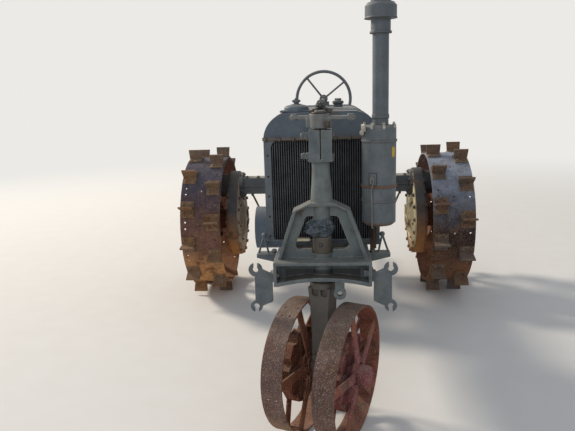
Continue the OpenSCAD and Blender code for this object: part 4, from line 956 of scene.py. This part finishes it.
mag_trim = [
    rounded_block("cap", (mag_low.x - 0.012, mag_high.y - 0.115, mag_high.z - 0.060),
                  (mag_low.x + 0.002, mag_high.y - 0.035, mag_high.z - 0.004), 0.005, 3)]
for step in range(4):
    mag_trim.append(turned("terminal",
                           [(0.0, 0.020), (0.006, 0.020), (0.0085, 0.016), (0.0095, 0.0), (0.0, 0.0)],
                           (mag_low.x + terminal_pitch * (step + 1), mag_high.y - 0.075, mag_high.z), 16))
finish(join("magneto_terminals", mag_trim), magneto_paint, "chassis")


# Fan: pressed steel blades riveted to a hub that turns on a stud, with a turned nose in front.
# Dark enamel, as on the magneto.
finish_node(magneto_paint, "fan")
fan_place, fan_front = Vector(joints["fan_spin"]["pos_m"]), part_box("fan")[0].y
nose = turned("fan_nose",
              [(0.0, 0.012), (0.012, 0.010), (0.020, 0.004), (0.022, 0.0), (0.0, 0.0)], (0, 0, 0), 24)
nose.data.transform(Matrix.Translation((fan_place.x, fan_front + 0.0005, fan_place.z))
                    @ Matrix.Rotation(math.radians(90), 4, "X"))
finish(nose, magneto_paint, "cooling_fan")


# Clutch and rear housings: large grey iron castings bolted end to end, with a flange round each
# joint and a cover behind. The engine's paint, oily underneath.
finish_node(engine_iron, "clutch_housing", "rear_housing")
rear_low, rear_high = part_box("rear_housing")
bell_y, bell_z, bell_r, bell_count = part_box("clutch_housing")[0].y + 0.1495, 0.830, 0.190, 14
bell_side_x, bell_top_z, bell_low_z = 0.155, 0.945, 0.615
bell_bolts = []
for step in range(bell_count):
    x, z = on_circle(0, bell_z, bell_r, 360 / bell_count * step + 12)
    # none where the housing behind covers the flange
    if abs(x) > bell_side_x or z > bell_top_z or z < bell_low_z:
        bell_bolts.append(((x, bell_y, z), (0, 1, 0)))
fasten("bell_housing_bolts", big_bolt, engine_iron, bell_bolts)
seam_x = 0.158
seam = rounded_block("seam", (-seam_x, rear_low.y - 0.014, 0.690),
                     (seam_x, rear_low.y - 0.0002, 0.872), 0.003)
seam_bolts = spread("seam_bolts", big_bolt, [
    ((side * seam_x, rear_low.y - 0.007, z), (side, 0, 0)) for side in (-1, 1) for z in (0.72, 0.78, 0.84)])
finish(join("housing_flange", [seam, seam_bolts]), engine_iron, "chassis")
cover_face = rear_high.y - 0.018
cover = rounded_block("cover", (-0.105, rear_high.y - 0.0262, 0.850), (0.105, cover_face, 0.945), 0.004, 3)
cover_bolts = spread("cover_bolts", small_bolt, [
    ((x, cover_face, z), (0, 1, 0)) for x in (-0.09, 0, 0.09) for z in (0.864, 0.931)])
finish(join("rear_housing_cover", [cover, cover_bolts]), engine_iron, "chassis")
fasten("rear_lid_bolts", big_bolt, engine_iron, [
    ((side * 0.072, rear_low.y + 0.080 + 0.083 * place, rear_high.z), (0, 0, 1))
    for side in (-1, 1) for place in range(5)])


# Axle tubes: box-like castings with a ledge along them and studs on top, bolted by round flanges to
# the housing and to the drop cases.

# enamel under thick road dust: grey on the sides and pale on every ledge
tube_paint = weathered("dusty_grey_enamel_on_axle_casting", "#44494d", "#53585a", "#6d4c36", "#3a2d26",
                       patch=0.22, edge=0.75, dust=0.85, dust_colour="#b4aa98")
finish_node(tube_paint, "axle_tubes")
tubes_low, tubes_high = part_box("axle_tubes")
axle_y, tube_z = (tubes_low.y + tubes_high.y) / 2, (tubes_low.z + tubes_high.z) / 2
stud = turned("stud", [(0.0, 0.017), (0.006, 0.017), (0.007, 0.0155), (0.007, 0.0095), (0.0125, 0.0095),
                       (0.0125, 0.0015), (0.0165, 0.0015), (0.0165, 0.0), (0.0, 0.0)], (0, 0, 0), 18)
patterns.append(stud)
stud_row_y, stud_row_z = axle_y - 0.040, tube_z + 0.0635
tube_bolts = [((side * x, stud_row_y, stud_row_z), (0, 0, 1)) for side in (-1, 1)
              for x in (0.250, 0.345, 0.440, 0.535, 0.625)]
fasten("axle_tube_studs", stud, tube_paint, tube_bolts)
# the outer flange meets the drop case and the inner one the housing
flanges = [(tubes_high.x - 0.022, 0.090, -1), (0.196, 0.098, 1)]
ring_bolts = [((side * x, *on_circle(axle_y, tube_z, radius, 45 * step + 22.5)), (side * way, 0, 0))
              for side in (-1, 1) for step in range(8) for x, radius, way in flanges]
fasten("axle_flange_bolts", small_bolt, tube_paint, ring_bolts)


# Drop cases with their inner covers: pear-shaped castings round the final gears. Grey above and
# orange with rust and old oil below; the covers still have cream paint, with open bearing windows.
right_side_low, right_side_high = (-1.2, -1, 0), (-0.3, 3, 2)
# dull enamel made near black as painted shade, where the rim's shadow falls on the case, and
# oil-soaked orange rust where the gears' oil seeped out
case_paint = weathered(
    "grey_enamel_turning_to_rust_on_drop_case", "#20242c", "#343437", "#7a5636", "#33271f", patch=0.34,
    edge=0.7, dust=0.35, zones=[(between_heights(0.70, 0.36), "#b37640", "#b68046")])
# cream paint flaked to rust: bright on the left, darker and browner on the right as painted shade,
# and browned by oil below
cream_paint = weathered(
    "worn_cream_paint_on_cover_plate", "#f0dfae", "#dac694", "#7a5b3b", "#3f332c", patch=0.43, edge=0.85,
    rough=0.6, mottle=0.2, zones=[
        (inside_box(right_side_low, right_side_high), "#8f8068", "#6a5b4d"),
        (between_heights(0.86, 0.96, 0.2), "#67655f", "#525150"),
        (between_heights(0.46, 0.34, 0.2), "#8a6439", "#96713f")])
finish_node(case_paint, "drop_cases")
finish_node(cream_paint, "drop_covers")
rear_axle_z = joints["rear_left_spin"]["pos_m"][2]
drop = tube_z - rear_axle_z


# Places round the pear-shaped edge, at these radii from the two shafts.
def round_the_pear(low_r, high_r, count):
    lean = math.asin((low_r - high_r) / drop)
    arc_low, arc_high = low_r * (math.pi + 2 * lean), high_r * (math.pi - 2 * lean)
    straight = math.sqrt(drop ** 2 - (low_r - high_r) ** 2)
    whole = arc_low + arc_high + 2 * straight
    places = []
    for step in range(count):
        along = whole * (step + 0.5) / count
        if along < arc_low:
            turn = math.pi - lean + along / low_r
            places.append((low_r * math.cos(turn), low_r * math.sin(turn)))
            continue
        along -= arc_low
        if along < straight:
            share = along / straight
            y = math.cos(lean) * (low_r + (high_r - low_r) * share)
            places.append((y, math.sin(lean) * (low_r + (high_r - low_r) * share) + drop * share))
            continue
        along -= straight
        if along < arc_high:
            turn = lean + along / high_r
            places.append((high_r * math.cos(turn), drop + high_r * math.sin(turn)))
            continue
        share = 1 - (along - arc_high) / straight
        y = -math.cos(lean) * (low_r + (high_r - low_r) * share)
        places.append((y, math.sin(lean) * (low_r + (high_r - low_r) * share) + drop * share))
    return places


cover_x, bearing_x, case_x, bearing_r = 0.6802, 0.6806, 0.7582, 0.168
edge_bolts = [((side * cover_x, axle_y + y, rear_axle_z + z), (-side, 0, 0))
              for side in (-1, 1) for y, z in round_the_pear(0.268, 0.095, 18)]
fasten("drop_cover_bolts", big_bolt, case_paint, edge_bolts)
bearing_bolts = [((side * bearing_x, *on_circle(axle_y, rear_axle_z, bearing_r, 60 * step + 8)),
                  (-side, 0, 0))
                 for side in (-1, 1) for step in range(6)]
fasten("bearing_cover_bolts", small_bolt, case_paint, bearing_bolts)
outer_bolts = [((side * case_x, axle_y + y, rear_axle_z + z), (side, 0, 0))
               for side in (-1, 1) for y, z in round_the_pear(0.284, 0.109, 18)]
fasten("drop_case_outer_bolts", big_bolt, case_paint, outer_bolts)


# Rear wheels: a rolled steel rim with two rows of pressed lugs, each held by four bolts, on flat
# spokes from a cast hub. All paint is gone: grey-brown on top, red-brown and orange lower down.


# A mask that holds only where both of these hold.
def where_both(first, second):
    def mask(tree, place, cloud):
        return add(tree, "ShaderNodeMath", {0: first(tree, place, cloud), 1: second(tree, place, cloud)},
                   operation="MULTIPLY").outputs[0]
    return mask


rear_gap, rear_width, rim_r, rim_inside = 0.778, 0.298, 0.5125, 0.4985
# Bare steel after years outside: matt, pitted, sandy rust, with pale edges on the lugs that are partly
# rubbed and partly a painted highlight. Each wheel has its own lugs, rim, scoured top, lower part, rust
# and share of rust. The tops' blue-grey is a painted reflection of the sky, and the left rim is nearly
# black as painted shade.
wheel_rust = {}
for name, lugs, rim, top, bottom, rust, share in [
        # left: a nearly black rim as painted shade, and a pale blue-grey top as a painted sky reflection
        ("left", ("#70523a", "#5b5350"), ("#251817", "#382523"), ("#8996a8", "#666b75"),
         ("#6f4931", "#7e563b"), "#6c452f", 0.38),
        # right: a dark blue-grey top as a painted sky reflection
        ("right", ("#86603c", "#6b5d52"), ("#5e4036", "#704e42"), ("#2d3148", "#40404f"),
         ("#ab7545", "#bf8f5c"), "#84552f", 0.44)]:
    centre, axis = wheel_axis(f"rear_{name}_spin")
    on_rim = inside_radius(centre, axis, rim_r, 0.001)
    wheel_rust[name] = weathered(
        f"bare_rusty_{name}_rim_and_lugs", *lugs, rust, "#33261f", patch=share, patch_mm=90,
        bare=between_heights(0.66, 0.98, 0.4), edge=0.8, edge_mm=5, edge_wear_and_highlight_colour="#a8906c", grain_mm=3.5,
        mottle=0.3, mottle_mm=45, dust=0.15, dust_colour="#b09474", specks=0.3, rough=0.88,
        shine=0.25, bump=0.6, zones=[
            (on_rim, *rim),
            (where_both(on_rim, between_heights(0.58, 0.92, 0.4)), *top),
            (where_both(on_rim, between_heights(0.46, 0.26, 0.4)), *bottom),
            (inside_radius(centre, axis, rim_inside, 0.001), "#5e3524", "#74452c")])
    finish_node(wheel_rust[name], f"rear_wheel_{name}")


# The frame of a rear wheel, its Z along the axle and outwards.
def rear_frame(side):
    turn = 0 if side > 0 else math.pi
    return (Matrix.Translation((0, axle_y, rear_axle_z)) @ Matrix.Rotation(turn, 4, "Z")
            @ Matrix.Rotation(math.pi / 2, 4, "Y"))


lug_bolt = make_bolt(0.017, 0.0075)
rim_rivet = make_rivet(0.011, 0.005)
axle_nut = make_bolt(0.078, 0.0075)
lug_count, spoke_count, stand_turn, row_in, foot_r = 12, 6, 9.425, 0.056, 0.516
hub_bolt_r, rim_rivet_r, beside = 0.128, 0.470, 0.020
inner_edge, outer_edge = rear_gap, rear_gap + rear_width
for side, name in [(1, "left"), (-1, "right")]:
    wheel, coat, body = rear_frame(side), wheel_rust[name], f"rear_{name}"
    heads = []
    for pitch in range(lug_count):
        for turn, middle in [(stand_turn, inner_edge + row_in), (-stand_turn, outer_edge - row_in)]:
            lug = wheel @ Matrix.Rotation(math.radians(360 / lug_count * pitch + turn), 4, "Z")
            for around in (-0.040, 0.040):
                for across in (-0.028, 0.028):
                    heads.append((lug @ Vector((foot_r, around, middle + across)),
                                  lug.to_3x3() @ Vector((1, 0, 0))))
    fasten(f"{body}_lug_bolts", lug_bolt, coat, heads, body)
    # each bar of a spoke has a pair of bolts at the hub's flange and a pair of rivets at the rim
    hub_heads, rim_heads = [], []
    for spoke in range(spoke_count):
        for start, way, hub_face, rim_face in [(0, 1, inner_edge + 0.0928, inner_edge + 0.114),
                                               (30, -1, outer_edge - 0.0608, outer_edge - 0.082)]:
            bar = wheel @ Matrix.Rotation(math.radians(360 / spoke_count * spoke + start), 4, "Z")
            along_axle = wheel.to_3x3() @ Vector((0, 0, way))
            for around in (-beside, beside):
                hub_heads.append((bar @ Vector((hub_bolt_r, around, hub_face)), -along_axle))
                rim_heads.append((bar @ Vector((rim_rivet_r, around, rim_face)), along_axle))
    fasten(f"{body}_hub_bolts", big_bolt, coat, hub_heads, body)
    fasten(f"{body}_spoke_rivets", rim_rivet, coat, rim_heads, body)
    fasten(f"{body}_axle_nut", axle_nut, coat, [
        (wheel @ Vector((0, 0, outer_edge - 0.0105)), wheel.to_3x3() @ Vector((0, 0, 1)))], body)


# Belt pulley on the tractor's right side: a turned iron drum on a cast web that is bolted to its
# shaft's flange. Blue-grey enamel, kept best where no belt ran.

# enamel on turned iron: the bluest and evenest of the paints
pulley_paint = weathered("blue_grey_enamel_on_pulley", "#3d4b59", "#4a5a68", "#6b4b36", "#3b2e27", patch=0.2)
finish_node(pulley_paint, "belt_pulley")
pulley_place, pulley_bolt_r = Vector(joints["pulley_spin"]["pos_m"]), 0.060
pulley_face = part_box("belt_pulley")[1].x
pulley_heads = [((pulley_face - 0.0205, *on_circle(pulley_place.y, pulley_place.z, pulley_bolt_r, 60 * step)),
                 (-1, 0, 0)) for step in range(6)]
fasten("pulley_web_bolts", big_bolt, pulley_paint, pulley_heads, "pulley")


# Platform, seat and levers: plate and spring steel, all bare and rusty; a pressed pan seat whose rim
# is rolled over a wire, bolted to its flat spring.

# dry rust on rolled plate: light brown and matt, with dark pits
plate_rust = weathered("dry_brown_rust_on_rolled_plate", "#5e4335", "#7b5f4e", "#8a5a3c", "#33241d",
                       patch=0.55, edge=0.5, patch_mm=110, grain_mm=3.5, rough=0.86, bump=0.6)
# forged steel darkened by oil and hands: near black with a soft shine
dark_steel = weathered("oiled_dark_steel", "#33363a", "#44474a", "#5b4636", "#2c2622", patch=0.3)
finish_node(plate_rust, "platform", "seat")
finish_node(dark_steel, "seat_spring", "levers", "drawbar", "stays", "pto_shaft", "steering_shaft")
platform_low, platform_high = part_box("platform")
rib_pitch, row_pitch, rib_rows, ribs_in_row = 0.030, 0.027, 11, 19
ribs = []
for row in range(rib_rows):
    for place in range(ribs_in_row):
        # the raised ribs lean left and right in turn
        lean = math.radians(45 if (row + place) % 2 else -45)
        rib = rounded_block("rib", (-0.011, -0.0022, -0.001), (0.011, 0.0022, 0.0018), 0.0008, 1)
        rib.data.transform(Matrix.Translation((
            platform_low.x + rib_pitch * (place + 1), platform_high.y - 0.285 + row_pitch * row,
            platform_high.z)) @ Matrix.Rotation(lean, 4, "Z"))
        ribs.append(rib)
finish(join("platform_tread_ribs", ribs), plate_rust, "chassis")
seat_low, seat_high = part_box("seat")
seat_place = over_middle("seat", 0)
seat_rim_r, roll_r = (seat_high.x - seat_low.x) / 2 - 0.0045, 0.0060
seat_rim = turned("seat_rolled_rim", [on_circle(seat_rim_r, 0, roll_r, 30 * step) for step in range(13)],
                  seat_place + Vector((0, 0, seat_high.z - 0.003)), 72)
seat_heads = spread("seat_bolt", make_rivet(0.012, 0.005), [
    (seat_place + Vector((x, y, seat_low.z + 0.0058)), (0, 0, 1))
    for x, y in [(-0.018, -0.018), (0.018, 0.018)]])
finish(join("seat_rim_and_bolts", [seat_rim, seat_heads]), plate_rust, "chassis")


# Drawbar, stays, power take-off and the steering shaft: forged and rolled steel, dark with oil.
# The stays are bolted to the ends of the drawbar's cross bar, and the shaft has six splines.
drawbar_bolt_x, drawbar_bolt_y, drawbar_bolt_z = 0.545, axle_y + 0.455, 0.4423
fasten("drawbar_bolts", big_bolt, dark_steel, [
    ((side * drawbar_bolt_x, drawbar_bolt_y, drawbar_bolt_z), (0, 0, 1)) for side in (-1, 1)])
pto_low, pto_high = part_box("pto_shaft")
pto_end = Matrix.Translation(((pto_low.x + pto_high.x) / 2, pto_high.y - 0.048, (pto_low.z + pto_high.z) / 2))
splines = []
for step in range(6):
    key = rounded_block("key", (-0.0035, 0, 0.0155), (0.0035, 0.045, 0.0190), 0.0008, 1)
    key.data.transform(pto_end @ Matrix.Rotation(math.radians(60 * step), 4, "Y"))
    splines.append(key)
finish(join("power_take_off_splines", splines), dark_steel, "chassis")


# Steering wheel: iron rods cast into a round rim, held on the shaft by a nut. Grey enamel, worn
# smooth by hands.

# hand-worn enamel: a cool dark grey, smoother and glossier than elsewhere
wheel_paint = weathered("hand_worn_enamel_on_steering_wheel", "#454b50", "#5b626a", "#5d4a3c", "#2e2a28",
                        patch=0.2, rough=0.45)
finish_node(wheel_paint, "steering_wheel")
hub_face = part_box("steering_wheel")[1].y - 0.0005
fasten("steering_wheel_nut", make_bolt(0.030, 0.014), dark_steel, [
    ((0, hub_face, joints["steering_wheel_turn"]["pos_m"][2]), (0, 1, 0))], "steering_shaft_body")


# Old wrapping on the steering post: a strip of blue-grey coated cloth, 120 by 660 mm, wound round it
# over the collar and tied, so that it sits in crumpled, bulging turns.
def wrap_the_post():
    turns, columns, rows = 1.9, 220, 44
    foot_z, upright, post_r, least_r, layer = 0.9625, 0.088, 0.031, 0.0285, 0.0035
    bpy.ops.object.select_all(action="DESELECT")
    bpy.ops.mesh.primitive_grid_add(x_subdivisions=columns, y_subdivisions=rows, size=1)
    cloth = bpy.context.object
    cloth.name = "crumpled_post_wrapping"
    for vertex in cloth.data.vertices:
        # u runs along the strip and v across it, from its lower edge
        u, v = vertex.co.x + 0.5, vertex.co.y + 0.5
        angle = 2 * math.pi * turns * u + 0.6
        ring = Vector((math.cos(angle), math.sin(angle), 0))
        # thrown out to the right side and low, pulled in by a tie above the middle
        bulge = (0.5 + 0.5 * math.cos(angle - math.radians(205))) ** 2
        tie = math.exp(-((v - 0.62 - 0.10 * math.sin(angle + 1)) / 0.07) ** 2)
        waist = max(math.sin(math.pi * v), 0.0) ** 0.45
        # large folds, sharp ridges that stand out and creases that sink in
        sample = Vector((ring.x * 1.3, ring.y * 1.3, v * 1.6 + 3 * u))
        folds = noise.noise(sample * 1.9) + 0.45 * noise.noise(sample * 4.7)
        ridge = 1 - abs(noise.noise(Vector((ring.x * 1.5, ring.y * 1.5 + u, v * 2.6)))) * 3.4
        ridge = max(ridge, 0.0) ** 1.6
        crease = 1 - abs(noise.noise(Vector((ring.x * 2.4 + 4, ring.y * 2.4 - u, v * 3.4 + 2)))) * 5.0
        crease = max(crease, 0.0)
        radius = post_r + layer * u + (0.010 + 0.036 * bulge * max(1 - 1.15 * abs(v - 0.28), 0)) * waist
        radius += (0.011 * folds + 0.012 * ridge - 0.007 * crease) * waist - 0.009 * tie
        radius = max(radius, least_r + 0.0022 * u)
        height = foot_z + upright * v + 0.010 * noise.noise(Vector((angle, u * 4, 5.0))) - 0.012 * bulge * v
        height = max(height, foot_z - 0.002)
        vertex.co = Vector((0, post_y, 0)) + Vector((ring.x * radius, ring.y * radius, height))
    pick(cloth)
    bpy.ops.object.shade_smooth()
    return cloth


wrapping = wrap_the_post()
# coated cloth gone stiff: a fine weave under a worn blue-grey film, with more shine than the paint.
# Its near-black blots and pale blue-grey patches, edges and dust on what faces up are partly its own
# worn colour and partly painted shade and painted highlight on the folds
wrapping_cloth = weathered("crumpled_blue_grey_coated_cloth", "#1e252c", "#465058", "#666f76", "#101418",
                           patch=0.4, edge=0.5, edge_mm=3, patch_mm=30, grain_mm=1.2, rough=0.4, bump=0.3,
                           dust=0.3, dust_colour="#828d98", mottle=0.5, mottle_mm=25)
finish(wrapping, wrapping_cloth, "steered_post")


# A pale flat strip of old steel that lies across the frame's opening on the right, fixed to its
# web. Cream paint is left on it.

# cream paint on flat bar: warm and pale, chalky, with brown rust along the edges
pale_steel = weathered("pale_worn_cream_paint_on_flat_bar", "#c9bf9f", "#b7ad90", "#8a6a4a", "#5a4636",
                       patch=0.3, edge=0.5, rough=0.7)
strip = rounded_block("pale_flat_strip", (-0.112, post_y - 0.036, 0.944),
                      (-0.054, post_y - 0.006, 0.9555), 0.002)
finish(strip, pale_steel, "chassis")


# The first bolts, rivets and studs are put away, and the box round all that is shown is found.
for model in patterns:
    bpy.data.objects.remove(model)
bpy.context.scene.view_settings.view_transform = "Standard"
low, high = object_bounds()
